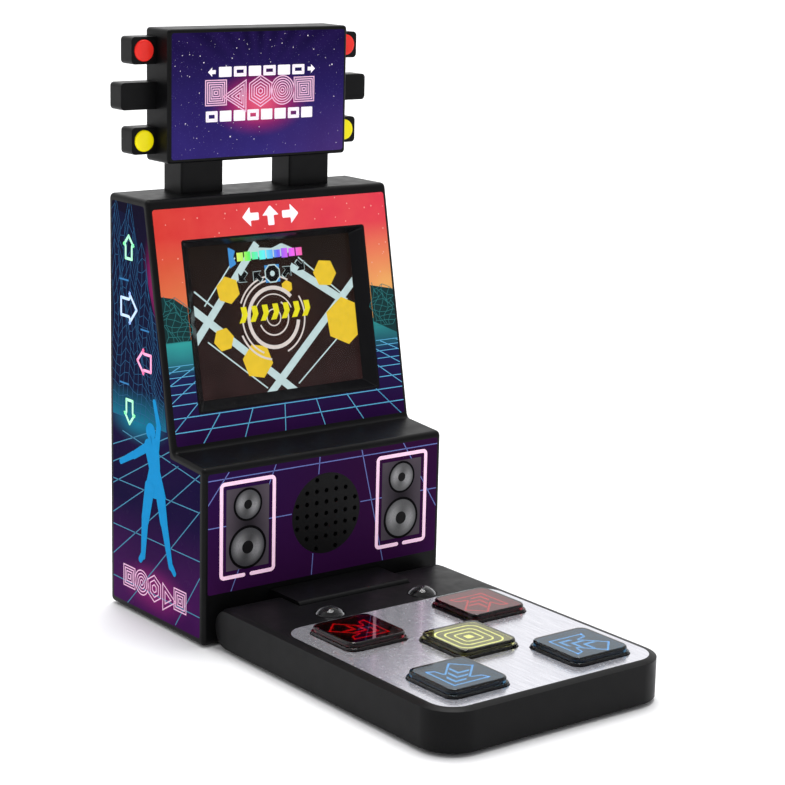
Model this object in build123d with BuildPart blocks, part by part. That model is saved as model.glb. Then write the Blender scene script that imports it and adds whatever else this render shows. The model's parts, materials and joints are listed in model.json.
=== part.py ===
"""Tabletop dance rhythm machine: a small arcade cabinet with a lit sign and a fold-up finger dance pad.

Frame: +Z up, the player sits at -Y, +X is the player's right.  The origin is on the surface that the
machine stands on, under the centre of its overall footprint.  Lengths are millimetres.
"""
import os
from math import atan2, cos, hypot, sin

from build123d import *

os.makedirs("parts", exist_ok=True)

# ---- Cabinet ----
cab_w = 84.0
cab_d = 50.7
cab_top_z = 122.8
wall = 2.0
foot_proud = 0.5
shelf_d = 15.8
shelf_front_z = 51.9
shelf_rise = 1.2
panel_setback = 29.9
profile_r = 1.6
side_edge_r = 1.2

# ---- Printed decals, set flush into shallow pockets ----
decal_t = 0.25
side_decal_margin = 1.9
front_decal_side = 1.4
speaker_decal_rise = 1.6
speaker_decal_top = 1.7
panel_decal_low = 1.6
panel_decal_top = 2.7
decal_corner_r = 0.8

# ---- Screen: margins from the slanted panel's edges to the opening, then to the window ----
opening_side = 9.8
opening_low = 9.9
opening_top = 11.8
window_side = 3.85
window_low = 3.35
window_top = 2.15
bezel_depth = 3.0
bezel_slack = 0.2
bezel_lip = 0.4
bezel_flange_w = 2.3
bezel_flange_t = 1.5
lens_t = 1.2
lens_margin = 1.6
lens_room = 0.2
lcd_side = 6.25
lcd_end = 3.05
lcd_t = 2.6
board_standoff = 8.0
board_edge = 9.5
board_side = 0.5
board_boss_low = 12.0
board_boss_top = 15.1
chip_sq = 13.0
amplifier_size = (6.0, 5.0)
crystal_size = (9.0, 3.6)
connector_size = (10.0, 4.5)
chip_t = 1.8

# ---- Speaker ----
speaker_drop = 18.8
speaker_r = 14.0
speaker_ring_t = 1.2
speaker_ring_h = 3.0
magnet_r = 8.2
magnet_back = 8.4
basket_back = 4.4
basket_t = 1.2
cone_r = 12.0
cone_depth = 4.4
cone_t = 0.5
dust_cap_r = 3.2
grille_disc_r = 12.0
grille_hole_r = 0.68
grille_pitch = 3.41
grille_columns = {3: (-1, 1), 2: range(-2, 3), 1: range(-3, 4), 0: range(-3, 4)}

# ---- Back, batteries and power switch ----
cover_t = 2.6
cover_gap = 0.15
cell_r = 5.25
cell_l = 44.5
cell_gap = 0.6
cell_side_gap = 0.4
cell_tip_r = 1.9
cell_tip_l = 0.9
cell_count = 3
tray_wall = 1.2
tray_z = 7.0
contact_room = 2.6
contact_sq = 8.0
contact_t = 0.4
door_t = 1.6
door_gap = 0.25
door_ledge = 1.4
door_lug = (12.0, 9.0)
door_lug_r = 2.0
door_lug_rise = 3.4
switch_x = 24.0
switch_z = 66.0
switch_travel = 3.0
knob_w = 4.4
knob_h = 3.2
knob_gap = 0.2
switch_gap = 1.0
switch_board = (24.0, 8.0)
switch_case = (9.0, 4.6, 3.4)

# ---- Screws and feet ----
screw_r = 1.0
pilot_gap = 0.05
shank_gap = 0.2
head_r = 1.9
head_h = 1.1
head_gap = 0.3
head_sink = 0.1
boss_r = 2.7
small_boss_r = 2.4
boss_bite = 0.4
cover_boss_l = 12.0
cover_pilot_l = 9.0
cover_screw_l = 8.0
board_screw_l = 5.0
board_pilot_l = 6.0
foot_inset = 9.0
foot_r = 4.2
foot_pocket = 0.8

# ---- Sign on top ----
sign_w = 62.2
sign_h = 37.8
sign_rise = 8.9
sign_setback = 36.0
sign_front_d = 6.4
sign_back_d = 5.8
sign_wall = 1.6
sign_edge_r = 1.1
sign_decal_margin = 1.1
post_w = 14.2
post_d = 10.0
post_share = 0.604
post_wall = 1.6
post_edge_r = 0.8
post_stub = 1.5
post_screw_l = 6.0
washer_r = 4.4
washer_t = 0.6
tenon_gap = 0.1
lamp_w = 8.1
lamp_h = 7.7
arm_w = 11.6
lamp_r = 3.05
lamp_seat = 2.5
lamp_proud = 0.6
lamp_inset = 6.2
lamp_block_r = 1.2

# ---- Dance pad ----
pad_w = 77.8
pad_reach = 103.6
pad_gap = 0.7
pad_top_z = 12.7
pad_corner_r = 10.2
pad_wall = 1.8
pad_top_t = 2.0
pad_top_edge = 0.7
pad_low_edge = 0.9
sheet_t = 0.3
sheet_side = 2.6
sheet_dome_gap = 1.0
sheet_front = 2.3
sheet_corner_r = 6.8
pad_boss_inset = 4.4
pad_boss_back = 4.0
pad_boss_front = 12.5
pad_foot_back = 12.0
pad_foot_front = 14.0
pad_screw_l = 6.0

# ---- Hinge ----
tongue_w = 38.8
tongue_reach = 14.7
tongue_step = 0.9
tongue_nose_r = 1.2
tongue_side_gap = 0.3
sweep_gap = 0.3
flange_overlap = 6.4
flange_t = 2.0
flange_standoff = 3.0
pin_r = 1.2
pin_run_gap = 0.05
pin_l = 64.0

# ---- Buttons ----
button_sq = 20.3
button_spread = 0.7
button_ledge = 0.5
button_corner_r = 2.8
button_gap = 0.25
button_base_h = 0.9
button_h = 2.3
button_lip = 0.7
button_travel = 1.2
cap_t = 1.0
insert_gap = 0.1
plunger_r = 2.6
dome_x = 16.3
dome_setback = 5.94
dome_r = 4.0
dome_h = 2.1
dome_skirt = 0.8
dome_travel = 0.8
board_t = 1.2
board_z = 4.2
membrane_t = 0.5
bottoming_gap = 0.15

# ---- Places that follow from the sizes above ----
front_y = (pad_reach - cab_d) / 2
back_y = front_y + cab_d
pad_front_y = front_y - pad_reach
shelf_y = front_y + shelf_d
shelf_back_z = shelf_front_z + shelf_rise
panel_top_y = front_y + panel_setback
cab_mid_z = (foot_proud + cab_top_z) / 2
panel_lean = atan2(panel_top_y - shelf_y, cab_top_z - shelf_back_z)
panel_len = hypot(panel_top_y - shelf_y, cab_top_z - shelf_back_z)
opening_w = cab_w - 2 * opening_side
opening_h = panel_len - opening_low - opening_top
opening_s = opening_low + opening_h / 2
window_w = opening_w - 2 * window_side
window_h = opening_h - window_low - window_top
window_s = opening_low + window_low + window_h / 2
lcd_w = window_w + 2 * lcd_side
lcd_h = window_h + 2 * lcd_end
speaker_z = shelf_front_z - speaker_drop
panel_decal_h = panel_len - panel_decal_low - panel_decal_top
panel_decal_s = panel_decal_low + panel_decal_h / 2
front_decal_w = cab_w - 2 * front_decal_side
floor_top_z = foot_proud + wall
knuckle_r = (pad_top_z - foot_proud) / 2
pad_back_y = front_y - pad_gap
hinge_y = pad_back_y - knuckle_r
hinge_z = foot_proud + knuckle_r
tongue_top_z = pad_top_z + tongue_step
speaker_decal_low_z = tongue_top_z + speaker_decal_rise
speaker_decal_h = shelf_front_z - speaker_decal_top - speaker_decal_low_z
speaker_decal_mid_z = speaker_decal_low_z + speaker_decal_h / 2
sign_z = cab_top_z + sign_rise
sign_y = front_y + sign_setback
sign_split_y = sign_y + sign_front_d
sign_back_y = sign_split_y + sign_back_d
sign_mid_z = sign_z + sign_h / 2
lamp_rise = sign_h / 2 - lamp_inset
lamp_z = {"yellow": sign_mid_z - lamp_rise, "arm": sign_mid_z, "red": sign_mid_z + lamp_rise}
post_x = sign_w * post_share / 2
post_y = (sign_y + sign_back_y) / 2
cell_pitch = 2 * cell_r + cell_gap
tray_h = cell_count * cell_pitch
tray_mid_z = tray_z + tray_wall + tray_h / 2
tray_w = cell_l + 2 * contact_room
cover_in_y = back_y - cover_t
cell_y = cover_in_y - cell_r - cell_side_gap
boss_x = cab_w / 2 - wall - boss_r + boss_bite
boss_dz = cab_top_z - foot_proud - 2 * (wall + boss_r - boss_bite)

cabinet_points = [
    (front_y, foot_proud),
    (front_y, shelf_front_z),
    (shelf_y, shelf_back_z),
    (panel_top_y, cab_top_z),
    (back_y, cab_top_z),
    (back_y, foot_proud),
]


def facing_front(y, z=0.0):
    """A plane at depth y whose normal points at the player: local axes are X and Z."""
    return Plane(origin=(0, y, z), x_dir=(1, 0, 0), z_dir=(0, -1, 0))


def on_panel(depth=0.0):
    """A plane under the slanted panel by depth: local y runs up the slope from the shelf."""
    normal = (0, -cos(panel_lean), sin(panel_lean))
    plane = Plane(origin=(0, shelf_y, shelf_back_z), x_dir=(1, 0, 0), z_dir=normal)
    return plane.offset(-depth)


def screws(plane, points, length):
    """Pan-head screws: heads stand on the plane, shanks run against its normal."""
    with BuildSketch(plane) as heads:
        with Locations(*points):
            Circle(head_r)
    extrude(heads.sketch, amount=head_h)
    with BuildSketch(plane) as shanks:
        with Locations(*points):
            Circle(screw_r)
    extrude(shanks.sketch, amount=-length)
    with BuildSketch(plane.offset(head_h)) as recesses:
        with Locations(*points):
            Rectangle(head_r * 1.3, head_r * 0.3)
            Rectangle(head_r * 0.3, head_r * 1.3)
    extrude(recesses.sketch, amount=-head_h * 0.6, mode=Mode.SUBTRACT)


def save(builder, name):
    builder.part.label = name
    export_step(builder.part, f"parts/{name}.step")


# ================= Cabinet shell =================
cover_screw_points = [(x, z) for x in (-boss_x, boss_x) for z in (-boss_dz / 2, boss_dz / 2)]
cabinet_foot_points = [
    (x, y)
    for x in (foot_inset - cab_w / 2, cab_w / 2 - foot_inset)
    for y in (front_y + foot_inset, back_y - foot_inset)
]
board_boss_points = [(x, s) for x in (-boss_x, boss_x) for s in (board_boss_low, panel_len - board_boss_top)]
board_depth = wall + board_standoff
post_points = [(-post_x, post_y), (post_x, post_y)]
tenon_w = post_w - 2 * post_wall
tenon_d = post_d - 2 * post_wall
tongue_boss_x = tongue_w / 2 + flange_overlap / 2
tongue_low_z = floor_top_z + 0.1
tongue_mid_z = (tongue_low_z + tongue_top_z) / 2
tongue_h = tongue_top_z - tongue_low_z

with BuildPart() as cabinet_shell:
    with BuildSketch(Plane.YZ):
        with BuildLine():
            Polyline(*cabinet_points, close=True)
        make_face()
        fillet(vertices(), profile_r)
    extrude(amount=cab_w / 2, both=True)
    fillet(faces().filter_by(Plane.YZ).edges(), side_edge_r)
    with BuildSketch(Plane.YZ):
        with BuildLine():
            Polyline(*cabinet_points, close=True)
        make_face()
        offset(amount=-wall, kind=Kind.INTERSECTION)
    extrude(amount=cab_w / 2 - wall, both=True, mode=Mode.SUBTRACT)
    # The back is open for its cover.
    with BuildSketch(facing_front(back_y, cab_mid_z)):
        Rectangle(cab_w - 2 * wall, cab_top_z - foot_proud - 2 * wall)
    extrude(amount=wall, mode=Mode.SUBTRACT)
    # Screw bosses for the back cover run forward along the side walls.
    with BuildSketch(facing_front(cover_in_y, cab_mid_z)):
        with Locations(*cover_screw_points):
            Circle(boss_r)
    extrude(amount=cover_boss_l)
    # Standoffs for the main board stand on the back of the slanted panel.
    with BuildSketch(on_panel(wall)):
        with Locations(*board_boss_points):
            Circle(boss_r)
    extrude(amount=-(board_depth - wall))
    with BuildSketch(on_panel(board_depth)):
        with Locations(*board_boss_points):
            Circle(screw_r + pilot_gap)
    extrude(amount=board_pilot_l, mode=Mode.SUBTRACT)
    with BuildSketch(facing_front(cover_in_y, cab_mid_z)):
        with Locations(*cover_screw_points):
            Circle(screw_r + pilot_gap)
    extrude(amount=cover_pilot_l, mode=Mode.SUBTRACT)
    # Ring that locates the speaker behind its grille.
    with BuildSketch(facing_front(front_y + wall, speaker_z)):
        Circle(speaker_r + head_gap + speaker_ring_t)
        Circle(speaker_r + head_gap, mode=Mode.SUBTRACT)
    extrude(amount=-speaker_ring_h)
    # Bosses that carry the hinge tongue's flange.
    with BuildSketch(facing_front(front_y + wall, tongue_mid_z)):
        with Locations((-tongue_boss_x, 0), (tongue_boss_x, 0)):
            Circle(boss_r)
            Circle(screw_r + pilot_gap, mode=Mode.SUBTRACT)
    extrude(amount=-flange_standoff)
    # Openings: screen, grille, hinge tongue, sign posts, feet.
    with BuildSketch(on_panel()):
        with Locations((0, opening_s)):
            RectangleRounded(opening_w, opening_h, decal_corner_r)
    extrude(amount=-wall * 1.5, mode=Mode.SUBTRACT)
    with BuildSketch(facing_front(front_y, speaker_z)):
        for row in range(-3, 4):
            with Locations(*[(c * grille_pitch, row * grille_pitch) for c in grille_columns[abs(row)]]):
                Circle(grille_hole_r)
    extrude(amount=-wall, mode=Mode.SUBTRACT)
    with BuildSketch(facing_front(front_y, tongue_mid_z)):
        Rectangle(tongue_w + 2 * tenon_gap, tongue_h + 2 * tenon_gap)
    extrude(amount=-wall, mode=Mode.SUBTRACT)
    with BuildSketch(Plane.XY.offset(cab_top_z)):
        with Locations(*post_points):
            Rectangle(tenon_w + 2 * tenon_gap, tenon_d + 2 * tenon_gap)
    extrude(amount=-wall, mode=Mode.SUBTRACT)
    with BuildSketch(Plane.XY.offset(foot_proud)):
        with Locations(*cabinet_foot_points):
            Circle(foot_r)
    extrude(amount=foot_pocket, mode=Mode.SUBTRACT)
    # Pockets for the printed decals.
    for side in (-1, 1):
        with BuildSketch(Plane.YZ.offset(side * cab_w / 2)):
            with BuildLine():
                Polyline(*cabinet_points, close=True)
            make_face()
            offset(amount=-side_decal_margin, kind=Kind.INTERSECTION)
            fillet(vertices(), decal_corner_r)
        extrude(amount=-side * decal_t, mode=Mode.SUBTRACT)
    with BuildSketch(facing_front(front_y)):
        with Locations((0, speaker_decal_mid_z)):
            RectangleRounded(front_decal_w, speaker_decal_h, decal_corner_r)
        with Locations((0, speaker_z)):
            Circle(grille_disc_r, mode=Mode.SUBTRACT)
    extrude(amount=-decal_t, mode=Mode.SUBTRACT)
    with BuildSketch(on_panel()):
        with Locations((0, panel_decal_s)):
            RectangleRounded(front_decal_w, panel_decal_h, decal_corner_r)
    extrude(amount=-decal_t, mode=Mode.SUBTRACT)
save(cabinet_shell, "cabinet_shell")

# ---- Decals ----
for side, name in ((-1, "side_decal_left"), (1, "side_decal_right")):
    with BuildPart() as side_decal:
        with BuildSketch(Plane.YZ.offset(side * cab_w / 2)):
            with BuildLine():
                Polyline(*cabinet_points, close=True)
            make_face()
            offset(amount=-side_decal_margin, kind=Kind.INTERSECTION)
            fillet(vertices(), decal_corner_r)
        extrude(amount=-side * decal_t)
    save(side_decal, name)

with BuildPart() as speaker_panel_decal:
    with BuildSketch(facing_front(front_y)):
        with Locations((0, speaker_decal_mid_z)):
            RectangleRounded(front_decal_w, speaker_decal_h, decal_corner_r)
        with Locations((0, speaker_z)):
            Circle(grille_disc_r, mode=Mode.SUBTRACT)
    extrude(amount=-decal_t)
save(speaker_panel_decal, "speaker_panel_decal")

with BuildPart() as screen_panel_decal:
    with BuildSketch(on_panel()):
        with Locations((0, panel_decal_s)):
            RectangleRounded(front_decal_w, panel_decal_h, decal_corner_r)
        with Locations((0, opening_s)):
            RectangleRounded(opening_w, opening_h, decal_corner_r, mode=Mode.SUBTRACT)
    extrude(amount=-decal_t)
save(screen_panel_decal, "screen_panel_decal")

# ================= Screen =================
lens_w = window_w + 2 * lens_margin
lens_h = window_h + 2 * lens_margin
bezel_back = bezel_depth + lens_t + lens_room
mouth_w = opening_w - 2 * (bezel_lip + bezel_slack)
mouth_h = opening_h - 2 * (bezel_lip + bezel_slack)

with BuildPart() as screen_bezel:
    with BuildSketch(on_panel()):
        with Locations((0, opening_s)):
            RectangleRounded(opening_w - 2 * tenon_gap, opening_h - 2 * tenon_gap, decal_corner_r)
    extrude(amount=-bezel_back)
    with BuildSketch(on_panel(wall)):
        with Locations((0, opening_s)):
            Rectangle(opening_w + 2 * bezel_flange_w, opening_h + 2 * bezel_flange_w)
    extrude(amount=-bezel_flange_t)
    # The opening narrows from the face to the window.
    with BuildSketch(on_panel(-0.01)):
        with Locations((0, opening_s)):
            RectangleRounded(mouth_w, mouth_h, decal_corner_r)
    with BuildSketch(on_panel(bezel_depth)):
        with Locations((0, window_s)):
            RectangleRounded(window_w, window_h, decal_corner_r / 2)
    loft(mode=Mode.SUBTRACT)
    with BuildSketch(on_panel(bezel_depth)):
        with Locations((0, window_s)):
            Rectangle(lens_w + 2 * tenon_gap, lens_h + 2 * tenon_gap)
    extrude(amount=-(bezel_back - bezel_depth), mode=Mode.SUBTRACT)
save(screen_bezel, "screen_bezel")

with BuildPart() as screen_lens:
    with BuildSketch(on_panel(bezel_depth)):
        with Locations((0, window_s)):
            Rectangle(lens_w, lens_h)
    extrude(amount=-lens_t)
save(screen_lens, "screen_lens")

with BuildPart() as lcd_module:
    with BuildSketch(on_panel(bezel_back)):
        with Locations((0, window_s)):
            Rectangle(lcd_w, lcd_h)
    extrude(amount=-lcd_t)
save(lcd_module, "lcd_module")

main_board_w = cab_w - 2 * wall - 2 * board_side
main_board_h = panel_len - 2 * board_edge
main_board_s = panel_len / 2 - board_side * 3
with BuildPart() as main_board:
    with BuildSketch(on_panel(board_depth)):
        with Locations((0, main_board_s)):
            RectangleRounded(main_board_w, main_board_h, decal_corner_r)
        with Locations(*board_boss_points):
            Circle(screw_r + shank_gap, mode=Mode.SUBTRACT)
    extrude(amount=-board_t)
    # Processor, amplifier, crystal and connectors on the board's back.
    with BuildSketch(on_panel(board_depth + board_t)):
        with Locations((-4, main_board_s + 2)):
            Rectangle(chip_sq, chip_sq)
        with Locations((17, main_board_s - 4)):
            Rectangle(*amplifier_size)
        with Locations((12, main_board_s + 11)):
            SlotOverall(*crystal_size)
        with Locations((-24, main_board_s - 18), (24, main_board_s - 18)):
            Rectangle(*connector_size)
    extrude(amount=-chip_t)
save(main_board, "main_board")

with BuildPart() as board_screws:
    board_back = on_panel(board_depth + board_t)
    screws(
        Plane(board_back.origin, x_dir=(-1, 0, 0), z_dir=-board_back.z_dir),
        [(-x, s) for x, s in board_boss_points],
        board_screw_l,
    )
save(board_screws, "board_screws")

# ================= Speaker =================
speaker_plane = Plane(origin=(0, front_y + wall, speaker_z), x_dir=(1, 0, 0), z_dir=(0, 0, 1))
speaker_axis = Axis((0, front_y + wall, speaker_z), (0, 1, 0))

with BuildPart() as speaker_frame:
    with BuildSketch(speaker_plane):
        with BuildLine():
            Polyline(
                (cone_r + 0.4, 0), (speaker_r, 0), (speaker_r, basket_t), (cone_r + 0.6, basket_t),
                (magnet_r, basket_back), (magnet_r, magnet_back), (0, magnet_back),
                (0, magnet_back - basket_t), (magnet_r - 1.6, magnet_back - basket_t),
                (magnet_r - 1.6, basket_back - 0.4), (cone_r + 0.4, basket_t - 0.4), close=True,
            )
        make_face()
    revolve(axis=speaker_axis)
save(speaker_frame, "speaker_frame")

with BuildPart() as speaker_cone:
    with BuildSketch(speaker_plane):
        with BuildLine():
            Polyline(
                (0, cone_depth / 2), (dust_cap_r - 0.6, cone_depth / 2 + 0.4), (dust_cap_r, cone_depth),
                (cone_r, 0.1), (cone_r, 0.1 + cone_t), (dust_cap_r - 0.2, cone_depth + cone_t),
                (dust_cap_r - 1.0, cone_depth / 2 + 0.4 + cone_t), (0, cone_depth / 2 + cone_t), close=True,
            )
        make_face()
    revolve(axis=speaker_axis)
save(speaker_cone, "speaker_cone")

# ================= Back cover, batteries, switch =================
door_w = tray_w + 2 * tray_wall
door_h = tray_h + 2 * tray_wall
door_screw_z = tray_mid_z + door_h / 2 + door_lug_rise
slot_w = knob_w + switch_travel + 3 * knob_gap
slot_h = knob_h + 2 * knob_gap

with BuildPart() as back_cover:
    with BuildSketch(facing_front(back_y, cab_mid_z)):
        Rectangle(cab_w - 2 * wall - 2 * cover_gap, cab_top_z - foot_proud - 2 * wall - 2 * cover_gap)
    extrude(amount=cover_t)
    # Door seat, then the opening into the battery tray.
    with BuildSketch(facing_front(back_y, tray_mid_z)):
        Rectangle(door_w + 2 * door_ledge + 2 * door_gap, door_h + 2 * door_ledge + 2 * door_gap)
        with Locations((0, door_screw_z - tray_mid_z)):
            RectangleRounded(door_lug[0] + 2 * door_gap, door_lug[1] + 2 * door_gap, door_lug_r)
    extrude(amount=door_t, mode=Mode.SUBTRACT)
    with BuildSketch(facing_front(back_y - door_t, tray_mid_z)):
        Rectangle(door_w - 2 * tray_wall, door_h - 2 * tray_wall)
    extrude(amount=cover_t, mode=Mode.SUBTRACT)
    # Boss under the door's screw.
    with BuildSketch(facing_front(cover_in_y, door_screw_z)):
        Circle(boss_r)
    extrude(amount=board_pilot_l)
    with BuildSketch(facing_front(back_y, door_screw_z)):
        Circle(screw_r + shank_gap)
    extrude(amount=cover_t + board_screw_l, mode=Mode.SUBTRACT)
    # Screw seats at the corners.
    with BuildSketch(facing_front(back_y, cab_mid_z)):
        with Locations(*cover_screw_points):
            Circle(head_r + head_gap)
    extrude(amount=head_h + head_sink, mode=Mode.SUBTRACT)
    with BuildSketch(facing_front(back_y, cab_mid_z)):
        with Locations(*cover_screw_points):
            Circle(screw_r + shank_gap)
    extrude(amount=cover_t, mode=Mode.SUBTRACT)
    # Thumb recess and slot for the power switch.
    with BuildSketch(facing_front(back_y, switch_z)):
        with Locations((switch_x, 0)):
            RectangleRounded(slot_w + 4, slot_h + 3, 1.5)
    extrude(amount=cover_t / 2, mode=Mode.SUBTRACT)
    with BuildSketch(facing_front(back_y, switch_z)):
        with Locations((switch_x, 0)):
            Rectangle(slot_w, slot_h)
    extrude(amount=cover_t, mode=Mode.SUBTRACT)
    # Spacers that carry the switch body.
    with BuildSketch(facing_front(cover_in_y, switch_z)):
        with Locations((switch_x - 10, 0), (switch_x + 10, 0)):
            Circle(1.3)
    extrude(amount=switch_gap)
save(back_cover, "back_cover")

with BuildPart() as back_cover_screws:
    screws(
        Plane(origin=(0, back_y - head_h - head_sink, cab_mid_z), x_dir=(1, 0, 0), z_dir=(0, 1, 0)),
        [(x, -z) for x, z in cover_screw_points],
        cover_screw_l,
    )
save(back_cover_screws, "back_cover_screws")

tray_front_y = cell_y - cell_r - cell_side_gap
with BuildPart() as battery_tray:
    with BuildSketch(facing_front(cover_in_y, tray_mid_z)):
        Rectangle(door_w, door_h)
    extrude(amount=cover_in_y - tray_front_y + tray_wall)
    with BuildSketch(facing_front(cover_in_y, tray_mid_z)):
        Rectangle(tray_w, tray_h)
    extrude(amount=cover_in_y - tray_front_y, mode=Mode.SUBTRACT)
save(battery_tray, "battery_tray")

cell_zs = [tray_mid_z + (i - (cell_count - 1) / 2) * cell_pitch for i in range(cell_count)]
with BuildPart() as battery_cells:
    for i, z in enumerate(cell_zs):
        tip = 1 if i % 2 == 0 else -1
        with BuildSketch(Plane.YZ.offset(-tip * cell_l / 2)):
            with Locations((cell_y, z)):
                Circle(cell_r)
        extrude(amount=tip * (cell_l - cell_tip_l))
        with BuildSketch(Plane.YZ.offset(tip * (cell_l / 2 - cell_tip_l))):
            with Locations((cell_y, z)):
                Circle(cell_tip_r)
        extrude(amount=tip * cell_tip_l)
save(battery_cells, "battery_cells")

with BuildPart() as battery_contacts:
    for i, z in enumerate(cell_zs):
        tip = 1 if i % 2 == 0 else -1
        # A flat plate meets the tip, a plate with a cone spring meets the other end.
        for end in (-1, 1):
            with BuildSketch(Plane.YZ.offset(end * tray_w / 2)):
                with Locations((cell_y, z)):
                    Rectangle(contact_sq, contact_sq)
            extrude(amount=-end * contact_t)
        with BuildSketch(Plane.YZ.offset(-tip * (tray_w / 2 - contact_t))):
            with Locations((cell_y, z)):
                Circle(contact_sq * 0.4)
        with BuildSketch(Plane.YZ.offset(-tip * (cell_l / 2))):
            with Locations((cell_y, z)):
                Circle(cell_tip_r)
        loft()
        with BuildSketch(Plane.YZ.offset(tip * (tray_w / 2 - contact_t))):
            with Locations((cell_y, z)):
                Circle(cell_tip_r)
        extrude(amount=-tip * (contact_room - contact_t))
save(battery_contacts, "battery_contacts")

door_plate_w = door_w + 2 * door_ledge
door_plate_h = door_h + 2 * door_ledge
with BuildPart() as battery_door:
    with BuildSketch(facing_front(back_y, tray_mid_z)):
        Rectangle(door_plate_w, door_plate_h)
        with Locations((0, door_screw_z - tray_mid_z)):
            RectangleRounded(*door_lug, door_lug_r)
    extrude(amount=door_t)
    with BuildSketch(facing_front(back_y, door_screw_z)):
        Circle(head_r + head_gap)
    extrude(amount=head_h, mode=Mode.SUBTRACT)
    with BuildSketch(facing_front(back_y, door_screw_z)):
        Circle(screw_r + shank_gap)
    extrude(amount=door_t, mode=Mode.SUBTRACT)
    # Finger ridges, cut as shallow grooves.
    with BuildSketch(facing_front(back_y, tray_mid_z)):
        with GridLocations(1, 2.4, 1, 5):
            SlotOverall(16, 0.9)
    extrude(amount=0.4, mode=Mode.SUBTRACT)
save(battery_door, "battery_door")

with BuildPart() as door_screw:
    door_screw_plane = Plane(origin=(0, back_y - head_h, door_screw_z), x_dir=(1, 0, 0), z_dir=(0, 1, 0))
    screws(door_screw_plane, [(0, 0)], board_screw_l)
save(door_screw, "door_screw")

with BuildPart() as power_switch:
    with BuildSketch(facing_front(cover_in_y - 0.1, switch_z)):
        with Locations((switch_x - switch_travel / 2, 0)):
            Rectangle(slot_w + switch_travel + 1, slot_h + 1.6)
    extrude(amount=switch_gap - 0.2)
    with BuildSketch(facing_front(back_y - 0.3, switch_z)):
        with Locations((switch_x - switch_travel / 2, 0)):
            Rectangle(knob_w, knob_h)
    extrude(amount=cover_t - 0.2)
    # Thumb grooves across the knob.
    with BuildSketch(facing_front(back_y - 0.3, switch_z)):
        with Locations((switch_x - switch_travel / 2, 0)):
            with GridLocations(1.2, 1, 3, 1):
                Rectangle(0.5, knob_h)
    extrude(amount=0.4, mode=Mode.SUBTRACT)
save(power_switch, "power_switch")

with BuildPart() as switch_body:
    with BuildSketch(facing_front(cover_in_y - switch_gap, switch_z)):
        with Locations((switch_x, 0)):
            Rectangle(*switch_board)
    extrude(amount=board_t)
    with BuildSketch(facing_front(cover_in_y - switch_gap - board_t, switch_z)):
        with Locations((switch_x, 0)):
            Rectangle(*switch_case[:2])
    extrude(amount=switch_case[2])
save(switch_body, "switch_body")

with BuildPart() as cabinet_feet:
    with BuildSketch(Plane.XY):
        with Locations(*cabinet_foot_points):
            Circle(foot_r)
    extrude(amount=foot_proud + foot_pocket)
save(cabinet_feet, "cabinet_feet")

# ================= Hinge tongue =================
flange_y = front_y + wall + flange_standoff
with BuildPart() as hinge_tongue:
    with BuildSketch(Plane.YZ):
        with BuildLine():
            Polyline(
                (front_y - tongue_reach, tongue_low_z), (front_y - tongue_reach, tongue_top_z),
                (flange_y + flange_t, tongue_top_z), (flange_y + flange_t, tongue_low_z), close=True,
            )
        make_face()
        fillet(vertices().group_by(Axis.X)[0], tongue_nose_r)
        with Locations((hinge_y, hinge_z)):
            Circle(pin_r + pin_run_gap, mode=Mode.SUBTRACT)
    extrude(amount=tongue_w / 2, both=True)
    with BuildSketch(facing_front(flange_y, tongue_mid_z)):
        Rectangle(tongue_w + 2 * flange_overlap, tongue_h)
        with Locations((-tongue_boss_x, 0), (tongue_boss_x, 0)):
            Circle(screw_r + shank_gap, mode=Mode.SUBTRACT)
    extrude(amount=-flange_t)
save(hinge_tongue, "hinge_tongue")

with BuildPart() as tongue_screws:
    screws(
        Plane(origin=(0, flange_y + flange_t, tongue_mid_z), x_dir=(1, 0, 0), z_dir=(0, 1, 0)),
        [(-tongue_boss_x, 0), (tongue_boss_x, 0)],
        flange_t + flange_standoff,
    )
save(tongue_screws, "tongue_screws")

# ================= Sign on top =================
sign_boss_x = sign_w / 2 - sign_wall - small_boss_r + shank_gap
sign_boss_z = sign_h / 2 - sign_wall - small_boss_r + shank_gap
sign_boss_points = [(x, z) for x in (-sign_boss_x, sign_boss_x) for z in (-sign_boss_z, sign_boss_z)]

with BuildPart() as marquee_front:
    with BuildSketch(facing_front(sign_y, sign_mid_z)):
        RectangleRounded(sign_w, sign_h, sign_edge_r)
    extrude(amount=-sign_front_d)
    fillet(faces().sort_by(Axis.Y)[0].edges(), sign_edge_r * 0.8)
    with BuildSketch(facing_front(sign_y + sign_wall, sign_mid_z)):
        Rectangle(sign_w - 2 * sign_wall, sign_h - 2 * sign_wall)
    extrude(amount=-(sign_front_d - sign_wall), mode=Mode.SUBTRACT)
    with BuildSketch(facing_front(sign_y + sign_wall, sign_mid_z)):
        with Locations(*sign_boss_points):
            Circle(small_boss_r)
    extrude(amount=-(sign_front_d - sign_wall))
    with BuildSketch(facing_front(sign_split_y, sign_mid_z)):
        with Locations(*sign_boss_points):
            Circle(screw_r + pilot_gap)
    extrude(amount=4, mode=Mode.SUBTRACT)
    with BuildSketch(Plane.XY.offset(sign_z)):
        with Locations(*post_points):
            Rectangle(tenon_w + 2 * tenon_gap, tenon_d + 2 * tenon_gap)
    extrude(amount=sign_wall, mode=Mode.SUBTRACT)
    with BuildSketch(facing_front(sign_y, sign_mid_z)):
        RectangleRounded(sign_w - 2 * sign_decal_margin, sign_h - 2 * sign_decal_margin, decal_corner_r)
    extrude(amount=-decal_t, mode=Mode.SUBTRACT)
save(marquee_front, "marquee_front")

with BuildPart() as marquee_decal:
    with BuildSketch(facing_front(sign_y, sign_mid_z)):
        RectangleRounded(sign_w - 2 * sign_decal_margin, sign_h - 2 * sign_decal_margin, decal_corner_r)
    extrude(amount=-decal_t)
save(marquee_decal, "marquee_decal")

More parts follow.
